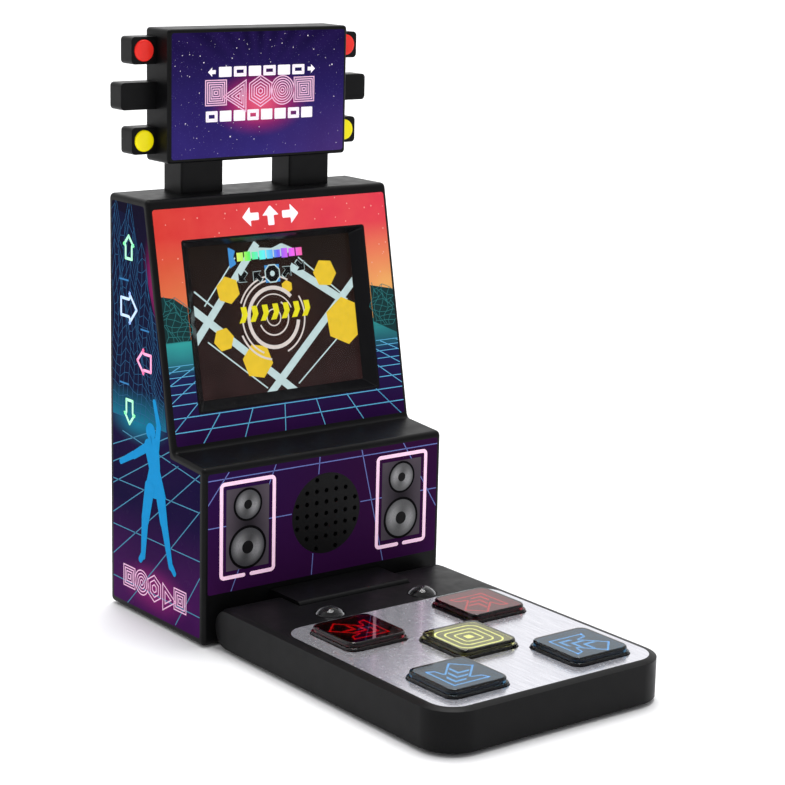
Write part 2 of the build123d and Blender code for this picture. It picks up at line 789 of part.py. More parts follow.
block_x = {"red": (sign_w + lamp_w) / 2, "yellow": (sign_w + lamp_w) / 2, "arm": (sign_w + arm_w) / 2}
block_w = {"red": lamp_w, "yellow": lamp_w, "arm": arm_w}
with BuildPart() as marquee_back:
    with BuildSketch(facing_front(sign_split_y, sign_mid_z)):
        RectangleRounded(sign_w, sign_h, sign_edge_r)
    extrude(amount=-sign_back_d)
    fillet(faces().sort_by(Axis.Y)[-1].edges(), sign_edge_r * 0.8)
    with BuildSketch(facing_front(sign_split_y, sign_mid_z)):
        Rectangle(sign_w - 2 * sign_wall, sign_h - 2 * sign_wall)
    extrude(amount=-(sign_back_d - sign_wall), mode=Mode.SUBTRACT)
    # Lamp blocks and plain arms stand out of both sides.
    for kind, z in lamp_z.items():
        for side in (-1, 1):
            with BuildSketch(facing_front(sign_split_y, z)):
                with Locations((side * (block_x[kind] - sign_wall / 2), 0)):
                    RectangleRounded(block_w[kind] + sign_wall, lamp_h, lamp_block_r)
            extrude(amount=-sign_back_d)
    for kind in ("red", "yellow"):
        with BuildSketch(facing_front(sign_split_y, lamp_z[kind])):
            with Locations((-block_x[kind], 0), (block_x[kind], 0)):
                Circle(lamp_r + tenon_gap)
        extrude(amount=-lamp_seat, mode=Mode.SUBTRACT)
    with BuildSketch(facing_front(sign_back_y - sign_wall, sign_mid_z)):
        with Locations(*sign_boss_points):
            Circle(small_boss_r)
    extrude(amount=sign_back_d - sign_wall)
    with BuildSketch(facing_front(sign_back_y, sign_mid_z)):
        with Locations(*sign_boss_points):
            Circle(head_r + head_gap)
    extrude(amount=head_h + head_sink, mode=Mode.SUBTRACT)
    with BuildSketch(facing_front(sign_back_y, sign_mid_z)):
        with Locations(*sign_boss_points):
            Circle(screw_r + shank_gap)
    extrude(amount=sign_back_d, mode=Mode.SUBTRACT)
    with BuildSketch(Plane.XY.offset(sign_z)):
        with Locations(*post_points):
            Rectangle(tenon_w + 2 * tenon_gap, tenon_d + 2 * tenon_gap)
    extrude(amount=sign_wall, mode=Mode.SUBTRACT)
save(marquee_back, "marquee_back")

with BuildPart() as marquee_screws:
    screws(
        Plane(origin=(0, sign_back_y - head_h - head_sink, sign_mid_z), x_dir=(1, 0, 0), z_dir=(0, 1, 0)),
        sign_boss_points,
        sign_back_d + 2 * screw_r,
    )
save(marquee_screws, "marquee_screws")

for kind in ("red", "yellow"):
    with BuildPart() as lamp_lenses:
        with BuildSketch(facing_front(sign_split_y + lamp_seat, lamp_z[kind])):
            with Locations((-block_x[kind], 0), (block_x[kind], 0)):
                Circle(lamp_r)
        extrude(amount=lamp_seat + lamp_proud)
        fillet(edges().filter_by(GeomType.CIRCLE).group_by(Axis.Y)[0], lamp_proud * 0.8)
    save(lamp_lenses, f"{kind}_lamp_lenses")

for side, name in ((-1, "marquee_post_left"), (1, "marquee_post_right")):
    with BuildPart() as post:
        with BuildSketch(Plane.XY.offset(cab_top_z)):
            with Locations((side * post_x, post_y)):
                RectangleRounded(post_w, post_d, post_edge_r)
        extrude(amount=sign_z - cab_top_z)
        with BuildSketch(Plane.XY.offset(cab_top_z - wall)):
            with Locations((side * post_x, post_y)):
                Rectangle(tenon_w, tenon_d)
        extrude(amount=sign_z - cab_top_z + wall + sign_wall + post_stub)
        with BuildSketch(Plane.XY.offset(cab_top_z - wall)):
            with Locations((side * post_x, post_y)):
                Circle(screw_r + pilot_gap)
        extrude(amount=post_screw_l + screw_r, mode=Mode.SUBTRACT)
    save(post, name)

with BuildPart() as post_screws:
    screws(
        Plane(origin=(0, 0, cab_top_z - wall), x_dir=(1, 0, 0), z_dir=(0, 0, -1)),
        [(x, -y) for x, y in post_points],
        post_screw_l,
    )
    # A washer spreads each screw's load over the tenon and the cabinet's top.
    with BuildSketch(Plane.XY.offset(cab_top_z - wall)):
        with Locations(*post_points):
            Circle(washer_r)
    extrude(amount=-washer_t)
save(post_screws, "post_screws")

# ================= Dance pad =================
sweep_r = hypot(
    tongue_reach - tongue_nose_r - (front_y - hinge_y), tongue_top_z - tongue_nose_r - hinge_z
) + tongue_nose_r
notch_r = sweep_r + sweep_gap
notch_w = tongue_w + 2 * tongue_side_gap
cavity_back_y = hinge_y - notch_r - pad_wall
pad_mid_y = (cavity_back_y + pad_front_y + pad_wall) / 2
cavity_l = cavity_back_y - pad_front_y - pad_wall
cavity_w = pad_w - 2 * pad_wall
top_under_z = pad_top_z - pad_top_t
dome_y = cavity_back_y - dome_setback
dome_points = [(-dome_x, dome_y), (dome_x, dome_y)]
sheet_w = pad_w - 2 * sheet_side
sheet_back_y = dome_y - dome_r - sheet_dome_gap
sheet_front_y = pad_front_y + sheet_front
sheet_l = sheet_back_y - sheet_front_y
sheet_mid_y = (sheet_back_y + sheet_front_y) / 2
button_mid_y = sheet_mid_y
button_step = button_sq + button_spread
button_top_sq = button_sq - 2 * button_ledge
button_cells = {
    "back_left": (-1, 1),
    "back_right": (1, 1),
    "centre": (0, 0),
    "front_left": (-1, -1),
    "front_right": (1, -1),
}
button_points = [(x * button_step, button_mid_y + y * button_step) for x, y in button_cells.values()]
hole_sq = button_sq + 2 * button_gap
pad_boss_points = [
    (x, y)
    for x in (-(pad_w / 2 - pad_boss_inset), pad_w / 2 - pad_boss_inset)
    for y in (cavity_back_y - pad_boss_back, button_mid_y, pad_front_y + pad_boss_front)
]
cover_z = foot_proud + pad_wall
pad_foot_x = pad_w / 3
pad_foot_points = [
    (x, y)
    for x in (-pad_foot_x, pad_foot_x)
    for y in (cavity_back_y - pad_foot_back, pad_front_y + pad_foot_front)
]

with BuildPart() as pad_shell:
    with BuildSketch(Plane.YZ):
        with BuildLine():
            Line((hinge_y, foot_proud), (pad_front_y, foot_proud))
            Line((pad_front_y, foot_proud), (pad_front_y, pad_top_z))
            Line((pad_front_y, pad_top_z), (hinge_y, pad_top_z))
            ThreePointArc((hinge_y, pad_top_z), (pad_back_y, hinge_z), (hinge_y, foot_proud))
        make_face()
    extrude(amount=pad_w / 2, both=True)
    fillet(edges().filter_by(Axis.Z), pad_corner_r)
    chamfer(faces().sort_by(Axis.Z)[-1].edges().sort_by(Axis.Y)[:-1], pad_top_edge)
    chamfer(faces().sort_by(Axis.Z)[0].edges().sort_by(Axis.Y)[:-1], pad_low_edge)
    # The hollow opens downwards, with corners that follow the outside.
    with BuildSketch(Plane.XY.offset(foot_proud)):
        with Locations((0, pad_mid_y)):
            Rectangle(cavity_w, cavity_l)
        fillet(vertices().group_by(Axis.Y)[0], pad_corner_r - pad_wall)
    extrude(amount=top_under_z - foot_proud, mode=Mode.SUBTRACT)
    with BuildSketch(Plane.XY.offset(top_under_z)):
        with Locations(*pad_boss_points):
            Circle(small_boss_r)
            Circle(screw_r + pilot_gap, mode=Mode.SUBTRACT)
    extrude(amount=-(top_under_z - cover_z))
    # The notch takes the hinge tongue: its front wall is round about the pin.
    with BuildSketch(Plane.YZ):
        with Locations((hinge_y, hinge_z)):
            Circle(notch_r)
    extrude(amount=notch_w / 2, both=True, mode=Mode.SUBTRACT)
    with BuildSketch(Plane.YZ):
        with Locations((hinge_y, hinge_z)):
            Circle(pin_r)
    extrude(amount=pin_l / 2, both=True, mode=Mode.SUBTRACT)
    # Pocket for the metallic sheet, then the button openings.
    with BuildSketch(Plane.XY.offset(pad_top_z)):
        with Locations((0, sheet_mid_y)):
            RectangleRounded(sheet_w, sheet_l, sheet_corner_r)
    extrude(amount=-sheet_t, mode=Mode.SUBTRACT)
    with BuildSketch(Plane.XY.offset(pad_top_z)):
        with Locations(*button_points):
            RectangleRounded(hole_sq, hole_sq, button_corner_r + button_gap)
        with Locations(*dome_points):
            Circle(dome_r + button_gap)
    extrude(amount=-pad_top_t, mode=Mode.SUBTRACT)
save(pad_shell, "pad_shell")

with BuildPart() as hinge_pin:
    with BuildSketch(Plane.YZ):
        with Locations((hinge_y, hinge_z)):
            Circle(pin_r)
    extrude(amount=pin_l / 2, both=True)
save(hinge_pin, "hinge_pin")

with BuildPart() as pad_sheet:
    with BuildSketch(Plane.XY.offset(pad_top_z)):
        with Locations((0, sheet_mid_y)):
            RectangleRounded(sheet_w, sheet_l, sheet_corner_r)
        with Locations(*button_points):
            RectangleRounded(hole_sq, hole_sq, button_corner_r + button_gap, mode=Mode.SUBTRACT)
    extrude(amount=-sheet_t)
save(pad_sheet, "pad_sheet")

pad_board_w = pad_w - 2 * (pad_boss_inset + small_boss_r + board_side)
pad_board_l = cavity_l - 3.0
with BuildPart() as pad_bottom_cover:
    with BuildSketch(Plane.XY.offset(foot_proud)):
        with Locations((0, pad_mid_y)):
            Rectangle(cavity_w - 2 * cover_gap, cavity_l - 2 * cover_gap)
        fillet(vertices().group_by(Axis.Y)[0], pad_corner_r - pad_wall - cover_gap)
    extrude(amount=pad_wall)
    # Ribs carry the pad's board.
    with BuildSketch(Plane.XY.offset(cover_z)):
        with Locations((0, pad_mid_y)):
            with GridLocations(pad_board_w - 4, 1, 2, 1):
                Rectangle(1.4, pad_board_l - 20)
    extrude(amount=board_z - cover_z)
    with BuildSketch(Plane.XY.offset(foot_proud)):
        with Locations(*pad_boss_points):
            Circle(head_r + head_gap)
    extrude(amount=head_h, mode=Mode.SUBTRACT)
    with BuildSketch(Plane.XY.offset(foot_proud)):
        with Locations(*pad_boss_points):
            Circle(screw_r + shank_gap)
    extrude(amount=pad_wall, mode=Mode.SUBTRACT)
    with BuildSketch(Plane.XY.offset(foot_proud)):
        with Locations(*pad_foot_points):
            Circle(foot_r)
    extrude(amount=foot_pocket, mode=Mode.SUBTRACT)
save(pad_bottom_cover, "pad_bottom_cover")

with BuildPart() as pad_screws:
    screws(
        Plane(origin=(0, 0, foot_proud + head_h), x_dir=(1, 0, 0), z_dir=(0, 0, -1)),
        [(x, -y) for x, y in pad_boss_points],
        pad_screw_l,
    )
save(pad_screws, "pad_screws")

with BuildPart() as pad_feet:
    with BuildSketch(Plane.XY):
        with Locations(*pad_foot_points):
            Circle(foot_r)
    extrude(amount=foot_proud + foot_pocket)
save(pad_feet, "pad_feet")

board_top_z = board_z + board_t
with BuildPart() as pad_board:
    with BuildSketch(Plane.XY.offset(board_z)):
        with Locations((0, pad_mid_y)):
            RectangleRounded(pad_board_w, pad_board_l, 2)
    extrude(amount=board_t)
save(pad_board, "pad_board")

with BuildPart() as pad_membrane:
    with BuildSketch(Plane.XY.offset(board_top_z)):
        with Locations((0, pad_mid_y)):
            RectangleRounded(pad_board_w, pad_board_l, 2)
    extrude(amount=membrane_t)
    with BuildSketch(Plane.XY.offset(board_top_z)):
        with Locations(*button_points, *dome_points):
            Circle(plunger_r + 1.8)
    extrude(amount=membrane_t + 0.9)
    with BuildSketch(Plane.XY.offset(board_top_z)):
        with Locations(*button_points, *dome_points):
            Circle(plunger_r + 0.8)
    extrude(amount=membrane_t + 0.9, mode=Mode.SUBTRACT)
save(pad_membrane, "pad_membrane")

# ---- Dance buttons: a stepped clear cap over a dark carrier that holds the printed arrow ----
lip_top_z = top_under_z - 0.1
lip_low_z = lip_top_z - button_lip
cap_step_z = pad_top_z + button_base_h
cap_top_z = pad_top_z + button_h
insert_sq = button_top_sq - 2 * cap_t
insert_r = button_corner_r - cap_t
for (x, y), name in zip(button_points, button_cells):
    with BuildPart() as button_cap:
        with BuildSketch(Plane.XY.offset(lip_low_z)):
            with Locations((x, y)):
                RectangleRounded(button_sq + 2 * button_lip, button_sq + 2 * button_lip, button_corner_r)
        extrude(amount=button_lip)
        with BuildSketch(Plane.XY.offset(lip_low_z)):
            with Locations((x, y)):
                RectangleRounded(button_sq, button_sq, button_corner_r)
        extrude(amount=cap_step_z - lip_low_z)
        fillet(faces().sort_by(Axis.Z)[-1].edges(), 0.45)
        with BuildSketch(Plane.XY.offset(lip_low_z)):
            with Locations((x, y)):
                RectangleRounded(button_top_sq, button_top_sq, button_corner_r)
        extrude(amount=cap_top_z - lip_low_z)
        fillet(faces().sort_by(Axis.Z)[-1].edges(), 0.6)
        with BuildSketch(Plane.XY.offset(lip_low_z)):
            with Locations((x, y)):
                RectangleRounded(insert_sq + 2 * insert_gap, insert_sq + 2 * insert_gap, insert_r)
        extrude(amount=cap_top_z - cap_t - lip_low_z, mode=Mode.SUBTRACT)
    save(button_cap, f"button_cap_{name}")
    with BuildPart() as button_insert:
        with BuildSketch(Plane.XY.offset(lip_low_z)):
            with Locations((x, y)):
                RectangleRounded(insert_sq, insert_sq, insert_r)
        extrude(amount=cap_top_z - cap_t - lip_low_z)
        with BuildSketch(Plane.XY.offset(board_top_z + bottoming_gap + button_travel)):
            with Locations((x, y)):
                Circle(plunger_r)
        extrude(amount=lip_low_z - board_top_z - bottoming_gap - button_travel)
    save(button_insert, f"button_insert_{name}")

# ---- Clear dome buttons ----
dome_sphere_r = (dome_r**2 + dome_h**2) / (2 * dome_h)
for (x, y), name in zip(dome_points, ("left", "right")):
    low_z = board_top_z + bottoming_gap + dome_travel
    with BuildPart() as menu_button:
        with BuildSketch(Plane(origin=(x, y, 0), x_dir=(1, 0, 0), z_dir=(0, -1, 0))):
            with BuildLine():
                Polyline(
                    (0, pad_top_z + dome_h), (0, low_z), (plunger_r, low_z), (plunger_r, lip_low_z),
                    (dome_r + dome_skirt, lip_low_z), (dome_r + dome_skirt, lip_top_z),
                    (dome_r, lip_top_z), (dome_r, pad_top_z),
                )
                RadiusArc((dome_r, pad_top_z), (0, pad_top_z + dome_h), -dome_sphere_r)
            make_face()
        revolve(axis=Axis((x, y, 0), (0, 0, 1)))
    save(menu_button, f"menu_button_{name}")
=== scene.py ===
import json
import random
from math import atan2, cos, pi, radians, sin

import bmesh
import bpy
from bpy.props import FloatProperty, FloatVectorProperty, IntProperty, PointerProperty
from mathutils import Matrix, Vector

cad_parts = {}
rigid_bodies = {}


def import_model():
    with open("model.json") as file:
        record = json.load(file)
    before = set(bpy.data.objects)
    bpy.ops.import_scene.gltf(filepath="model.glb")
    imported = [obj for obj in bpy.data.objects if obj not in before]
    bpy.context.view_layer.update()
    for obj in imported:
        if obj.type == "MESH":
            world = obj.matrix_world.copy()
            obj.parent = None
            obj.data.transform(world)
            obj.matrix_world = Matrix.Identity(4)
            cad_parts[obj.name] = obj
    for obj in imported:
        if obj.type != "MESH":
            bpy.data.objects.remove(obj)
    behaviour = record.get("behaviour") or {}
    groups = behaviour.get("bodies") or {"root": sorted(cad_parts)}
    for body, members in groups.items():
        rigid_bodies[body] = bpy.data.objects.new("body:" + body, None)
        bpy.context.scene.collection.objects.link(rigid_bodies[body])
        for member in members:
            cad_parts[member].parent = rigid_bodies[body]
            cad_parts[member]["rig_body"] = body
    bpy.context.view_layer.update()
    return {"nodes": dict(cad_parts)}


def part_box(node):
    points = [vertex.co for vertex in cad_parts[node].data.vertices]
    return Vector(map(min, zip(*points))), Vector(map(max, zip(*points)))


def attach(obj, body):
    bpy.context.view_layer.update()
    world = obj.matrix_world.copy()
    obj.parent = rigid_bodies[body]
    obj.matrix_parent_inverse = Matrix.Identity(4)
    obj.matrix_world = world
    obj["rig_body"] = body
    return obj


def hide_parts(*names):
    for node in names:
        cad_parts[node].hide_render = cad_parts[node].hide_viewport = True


bl_info = {
    "name": "Dance rhythm machine",
    "version": (1, 0, 0),
    "blender": (4, 5, 0),
    "location": "View3D > Sidebar > Rhythm machine",
    "description": "Builds the finishes, printed art and clear parts of a tabletop dance rhythm machine",
    "category": "Object",
}

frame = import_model()

MM = 0.001
INK = 0.02
LAYER = 0.03
X = Vector((1, 0, 0))
Y = Vector((0, 1, 0))
Z = Vector((0, 0, 1))

BUTTONS = {
    "back_left": ("red", -1, 1),
    "back_right": ("red", 1, 1),
    "centre": ("yellow", 0, 0),
    "front_left": ("blue", -1, -1),
    "front_right": ("blue", 1, -1),
}

# Places on the object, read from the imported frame.
CABINET_LOW, CABINET_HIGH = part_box("cabinet_shell")
SIGN_LOW, SIGN_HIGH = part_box("marquee_decal")
SPEAKER_LOW, SPEAKER_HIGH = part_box("speaker_panel_decal")

# Places of the art in millimetres: heights are above the panel's foot or the floor.
PANEL_START = 1.6
OPENING_SIDE = 32.2
OPENING_FOOT = 9.9
DISPLAY_CENTRE = 35.2
GRILLE_HEIGHT = 33.1
GRILLE_CLEAR = 12.3
ROUNDED = 0.35

# The printed drivers: distance to each side, then height and radii of surround, cone and hub.
DRIVER_X = 27.3
DRIVERS = ((39.9, 4.85, 4.2, 1.35), (27.4, 6.35, 5.6, 1.9))

# Room in metres between a button's card and its cap.
CARD_GAP = 0.00018


def shade(*screen):
    """Linear colour from 0-255 screen values."""
    return tuple(
        ((v / 255 + 0.055) / 1.055) ** 2.4 if v > 10 else v / 255 / 12.92 for v in screen
    )


def flat_side(node, toward):
    """The largest flat face of a CAD node that looks the given way: its lowest corner and its normal."""
    mesh = frame["nodes"][node].data
    facing = [p for p in mesh.polygons if p.normal.dot(toward) > 0.9]
    normal = max(facing, key=lambda p: p.area).normal.copy()
    reach = max(mesh.vertices[i].co.dot(normal) for p in facing for i in p.vertices)
    corners = [v.co for v in mesh.vertices if v.co.dot(normal) > reach - 1e-5]
    return min(corners, key=lambda c: c.z).copy(), normal


def art_plane(origin, across, up, lift):
    """Matrix from millimetres on a face (across, up, lift) to the frame's metres."""
    turn = Matrix((across, up, lift)).transposed().to_4x4()
    return Matrix.Translation(origin) @ turn @ Matrix.Scale(MM, 4)


PANEL_CORNER, PANEL_NORMAL = flat_side("screen_panel_decal", -Y)
PANEL_UP = PANEL_NORMAL.cross(X)
PANEL_ORIGIN = Vector((0, PANEL_CORNER.y, PANEL_CORNER.z)) - PANEL_UP * PANEL_START * MM
LCD_CORNER, _lcd_normal = flat_side("lcd_module", PANEL_NORMAL)
LCD_DEPTH = (LCD_CORNER - PANEL_ORIGIN).dot(PANEL_NORMAL)
SPEAKER_ART = art_plane((0, SPEAKER_LOW.y, 0), X, Z, -Y)
SIGN_ART = art_plane((0, SIGN_LOW.y, 0), X, Z, -Y)
PANEL_ART = art_plane(PANEL_ORIGIN, X, PANEL_UP, PANEL_NORMAL)
DISPLAY_ART = art_plane(PANEL_ORIGIN + PANEL_NORMAL * LCD_DEPTH, X, PANEL_UP, PANEL_NORMAL)

SIDE_ART = {
    "left": art_plane((CABINET_LOW.x, CABINET_LOW.y, 0), Y, Z, -X),
    "right": art_plane((CABINET_HIGH.x, CABINET_LOW.y, 0), Y, Z, X),
}


# Material nodes.
def new_finish(name):
    material = bpy.data.materials.new(f"{name}_finish")
    material.use_nodes = True
    return material, material.node_tree, material.node_tree.nodes["Principled BSDF"]


def fill(tree, socket, value):
    """Give a socket a value, or link it to another node's output."""
    if isinstance(value, bpy.types.NodeSocket):
        tree.links.new(value, socket)
    else:
        socket.default_value = value


def set_sockets(node, **values):
    """Fill a node's sockets by name, with underscores for spaces."""
    for name, value in values.items():
        fill(node.id_data, node.inputs[name.replace("_", " ")], value)


def place_of(tree):
    return tree.nodes.new("ShaderNodeTexCoord").outputs["Object"]


def maths(tree, operation, *values, clamp=False):
    node = tree.nodes.new("ShaderNodeMath")
    node.operation = operation
    node.use_clamp = clamp
    for socket, value in zip(node.inputs, values):
        fill(tree, socket, value)
    return node.outputs[0]


def vector_maths(tree, operation, *values):
    node = tree.nodes.new("ShaderNodeVectorMath")
    node.operation = operation
    for socket, value in zip(node.inputs, values):
        fill(tree, socket, value)
    return node.outputs["Value" if operation in ("DOT_PRODUCT", "LENGTH") else "Vector"]


def ranged(tree, value, low, high, to_low=0.0, to_high=1.0, smooth=False):
    """Turn the range low to high into another, and hold it at the ends."""
    span = tree.nodes.new("ShaderNodeMapRange")
    span.interpolation_type = "SMOOTHSTEP" if smooth else "LINEAR"
    set_sockets(span, Value=value, From_Min=low, From_Max=high, To_Min=to_low, To_Max=to_high)
    return span.outputs["Result"]


def run_along(tree, direction, low, high):
    """0 to 1 as a point goes from low to high metres along a direction."""
    return ranged(tree, vector_maths(tree, "DOT_PRODUCT", place_of(tree), direction), low, high)


def glow_at(tree, centre, radii):
    """1 at a centre, falling smoothly to 0 at the radii."""
    offset = vector_maths(tree, "SUBTRACT", place_of(tree), centre)
    shrunk = vector_maths(tree, "MULTIPLY", offset, [1 / r for r in radii])
    return ranged(tree, vector_maths(tree, "LENGTH", shrunk), 1.0, 0.0, smooth=True)


def noise(tree, scale, detail=3.0, low=0.0, high=1.0):
    grain = tree.nodes.new("ShaderNodeTexNoise")
    set_sockets(grain, Scale=scale, Detail=detail, Vector=place_of(tree))
    return ranged(tree, grain.outputs["Fac"], 0.3, 0.7, low, high)


def axes_of(tree, vector):
    split = tree.nodes.new("ShaderNodeSeparateXYZ")
    tree.links.new(vector, split.inputs[0])
    return split.outputs


def wave(tree, across, up, count, phase=0.0):
    """0 to 1 and back, count times in a full turn about where two outputs are 0."""
    turned = maths(tree, "MULTIPLY_ADD", maths(tree, "ARCTAN2", up, across), count, phase)
    return maths(tree, "MULTIPLY_ADD", maths(tree, "COSINE", turned), 0.5, 0.5)


def rays(tree, centre, count):
    """Light and dark rays from a centre on an upright face."""
    offset = axes_of(tree, vector_maths(tree, "SUBTRACT", place_of(tree), centre))
    return wave(tree, offset["X"], offset["Z"], count)


def specks(tree, scale, size):
    """1 inside small dots scattered about scale to the metre."""
    cells = tree.nodes.new("ShaderNodeTexVoronoi")
    set_sockets(cells, Scale=scale, Vector=place_of(tree))
    return maths(tree, "LESS_THAN", cells.outputs["Distance"], size)


def times(tree, a, b):
    return maths(tree, "MULTIPLY", a, b, clamp=True)


def mixed(tree, factor, first, second):
    """A colour between two: each is a colour or another node's output."""
    mix = tree.nodes.new("ShaderNodeMix")
    mix.data_type = "RGBA"
    tree.links.new(factor, mix.inputs["Factor"])
    colours = [s for s in mix.inputs if s.type == "RGBA"]
    for socket, value in zip(colours, (first, second)):
        fill(tree, socket, value if isinstance(value, bpy.types.NodeSocket) else (*value, 1.0))
    return [s for s in mix.outputs if s.type == "RGBA"][0]


def mottled(tree, colour, share, scale, detail=3.0):
    """A colour that wanders to a share of itself."""
    return mixed(tree, noise(tree, scale, detail), colour, [c * share for c in colour])


def bump(tree, shader, height, strength, distance):
    node = tree.nodes.new("ShaderNodeBump")
    set_sockets(node, Strength=strength, Distance=distance, Height=height)
    tree.links.new(node.outputs["Normal"], shader.inputs["Normal"])


# Finishes.
def moulded_black(name, colour, rough_low, rough_high, grain=0.12):
    """Injection-moulded plastic: a fine spark-eroded grain and slightly uneven gloss."""
    material, tree, shader = new_finish(name)
    set_sockets(
        shader, Specular_IOR_Level=0.10, Base_Color=mottled(tree, colour, 1.35, 90, 2.0),
        Roughness=noise(tree, 260, 4.0, rough_low, rough_high),
    )
    bump(tree, shader, noise(tree, 3800, 2.0), grain, 0.00004)
    return material


def printed_film(name, colour_of):
    """Gloss printed film over its art colours."""
    material, tree, shader = new_finish(name)
    set_sockets(
        shader, Specular_IOR_Level=0.008, Base_Color=colour_of(tree),
        Roughness=noise(tree, 300, 3.0, 0.22, 0.28),
    )
    bump(tree, shader, noise(tree, 1500, 2.0), 0.05, 0.00003)
    return material


def ink(name, colour, glow=0.0, roughness=0.3):
    """Opaque ink, a little uneven; glow adds a painted glow in the ink's own colour, brighter than the light
    on the print gives.
    """
    material, tree, shader = new_finish(name)
    set_sockets(
        shader, Base_Color=mottled(tree, colour, 0.93, 700), Roughness=roughness,
        Specular_IOR_Level=0.01, Emission_Color=(*colour, 1.0), Emission_Strength=glow,
    )
    return material


def clear_plastic(name, colour, roughness=0.03, ior=1.40):
    material, tree, shader = new_finish(name)
    set_sockets(
        shader, Transmission_Weight=1.0, IOR=ior, Base_Color=(*colour, 1.0),
        Roughness=noise(tree, 500, 2.0, roughness, roughness + 0.03),
    )
    return material


def metal(name, colour, roughness):
    material, tree, shader = new_finish(name)
    set_sockets(
        shader, Metallic=1.0, Base_Color=(*colour, 1.0),
        Roughness=noise(tree, 900, 4.0, roughness, roughness + 0.15),
    )
    bump(tree, shader, noise(tree, 2500, 3.0), 0.08, 0.00003)
    return material


def lamp_finish(name, colour):
    """Glossy translucent lens that stays bright in its own colour."""
    material, tree, shader = new_finish(name)
    set_sockets(
        shader, Base_Color=mottled(tree, colour, 0.88, 300), Roughness=0.22,
        Specular_IOR_Level=0.2, Emission_Color=(*colour, 1.0), Emission_Strength=0.22,
    )
    return material


def side_art_colours(tree):
    """Violet night sky that falls to a purple dance floor with a turquoise flash where they meet."""
    front = CABINET_LOW.y
    sky = mixed(tree, run_along(tree, Z, 0.062, 0.120), shade(26, 12, 62), shade(13, 9, 34))
    dusk = glow_at(tree, (0, front + 0.0262, 0.101), (1.0, 0.0065, 0.0165))
    sky = mixed(tree, times(tree, dusk, 0.9), sky, shade(142, 28, 96))
    floor = mixed(tree, run_along(tree, Z, 0.0, 0.034), shade(80, 24, 92), shade(17, 7, 52))
    floor = mixed(tree, times(tree, noise(tree, 45, 2.0), 0.45), floor, shade(34, 8, 60))
    art = mixed(tree, run_along(tree, Z, 0.054, 0.060), floor, sky)
    words = glow_at(tree, (0, front + 0.026, 0.0100), (1.0, 0.022, 0.0090))
    art = mixed(tree, times(tree, words, 0.75), art, shade(150, 40, 118))
    flash = glow_at(tree, (0, front + 0.035, 0.0590), (1.0, 0.019, 0.0085))
    return mixed(tree, times(tree, flash, 0.8), art, shade(18, 130, 160))


def slope_colours(tree):
    """Navy hillside that turns turquoise at its foot."""
    return mixed(tree, run_along(tree, Z, 0.0575, 0.0680), shade(22, 118, 146), shade(14, 18, 50))


def speaker_art_colours(tree):
    """Purple dance floor, bluer at its top left."""
    violet = mixed(tree, run_along(tree, X, -0.04, 0.02), shade(45, 21, 74), shade(52, 18, 60))
    return mixed(tree, run_along(tree, Z, 0.050, 0.015), violet, shade(58, 20, 70))


def panel_height(tree, low, high):
    """0 to 1 between two heights in millimetres up the slanted panel."""
    base = PANEL_ORIGIN.dot(PANEL_UP)
    return run_along(tree, PANEL_UP, base + low * MM, base + high * MM)


def screen_art_colours(tree):
    """Sunset above a turquoise haze and a dark purple floor."""
    sky = mixed(tree, run_along(tree, X, -0.04, 0.02), shade(226, 62, 56), shade(238, 68, 86))
    dusk = times(tree, panel_height(tree, 60, 38), run_along(tree, X, -0.085, 0.050))
    sky = mixed(tree, dusk, sky, shade(255, 200, 112))
    sky = mixed(tree, times(tree, noise(tree, 130, 5.0), 0.20), sky, shade(255, 118, 96))
    sky = mixed(tree, times(tree, specks(tree, 420, 0.10), 0.60), sky, shade(255, 205, 190))
    haze = mixed(tree, panel_height(tree, 21, 30), shade(34, 44, 92), shade(62, 178, 175))
    floor = mixed(tree, panel_height(tree, 4, 22), shade(48, 18, 68), haze)
    floor = mixed(tree, times(tree, noise(tree, 60, 2.0), 0.4), floor, shade(34, 14, 60))
    return mixed(tree, panel_height(tree, 31.0, 31.3), floor, sky)


def sign_art_colours(tree):
    """Indigo night with faint rays, mist and a magenta glow in the middle."""
    middle = Vector((0, SIGN_LOW.y, (SIGN_LOW.z + SIGN_HIGH.z) / 2))
    fall = run_along(tree, Z, SIGN_HIGH.z, SIGN_LOW.z)
    night = mixed(tree, fall, shade(20, 11, 50), shade(60, 50, 130))
    beams = times(tree, rays(tree, middle, 22), run_along(tree, Z, middle.z, SIGN_HIGH.z))
    night = mixed(tree, times(tree, beams, 0.5), night, shade(46, 30, 92))
    night = mixed(tree, times(tree, noise(tree, 75, 5.0), 0.4), night, shade(42, 26, 92))
    dusk = times(tree, run_along(tree, Z, middle.z, SIGN_LOW.z), run_along(tree, X, 0.0, 0.032))
    night = mixed(tree, times(tree, dusk, 0.35), night, shade(104, 66, 122))
    night = mixed(tree, times(tree, specks(tree, 1500, 0.12), 0.28), night, shade(140, 135, 210))
    glow = glow_at(tree, middle - Z * 0.0025, (0.0185, 0.02, 0.0105))
    night = mixed(tree, times(tree, glow, 0.95), night, shade(224, 48, 112))
    core = glow_at(tree, middle - Z * 0.003, (0.011, 0.02, 0.0065))
    return mixed(tree, times(tree, core, 0.5), night, shade(255, 120, 140))


def speaker_plate_colours(tree):
    """Grey plate, darker behind its two drivers."""
    height = (SPEAKER_LOW.z + SPEAKER_HIGH.z) / 2
    art = mixed(tree, noise(tree, 90, 3.0), shade(98, 88, 98), shade(84, 77, 86))
    for x in (-DRIVER_X, DRIVER_X):
        dim = glow_at(tree, (x * MM, SPEAKER_LOW.y, height), (0.0085, 0.02, 0.021))
        art = mixed(tree, times(tree, dim, 0.9), art, shade(34, 32, 36))
    return art


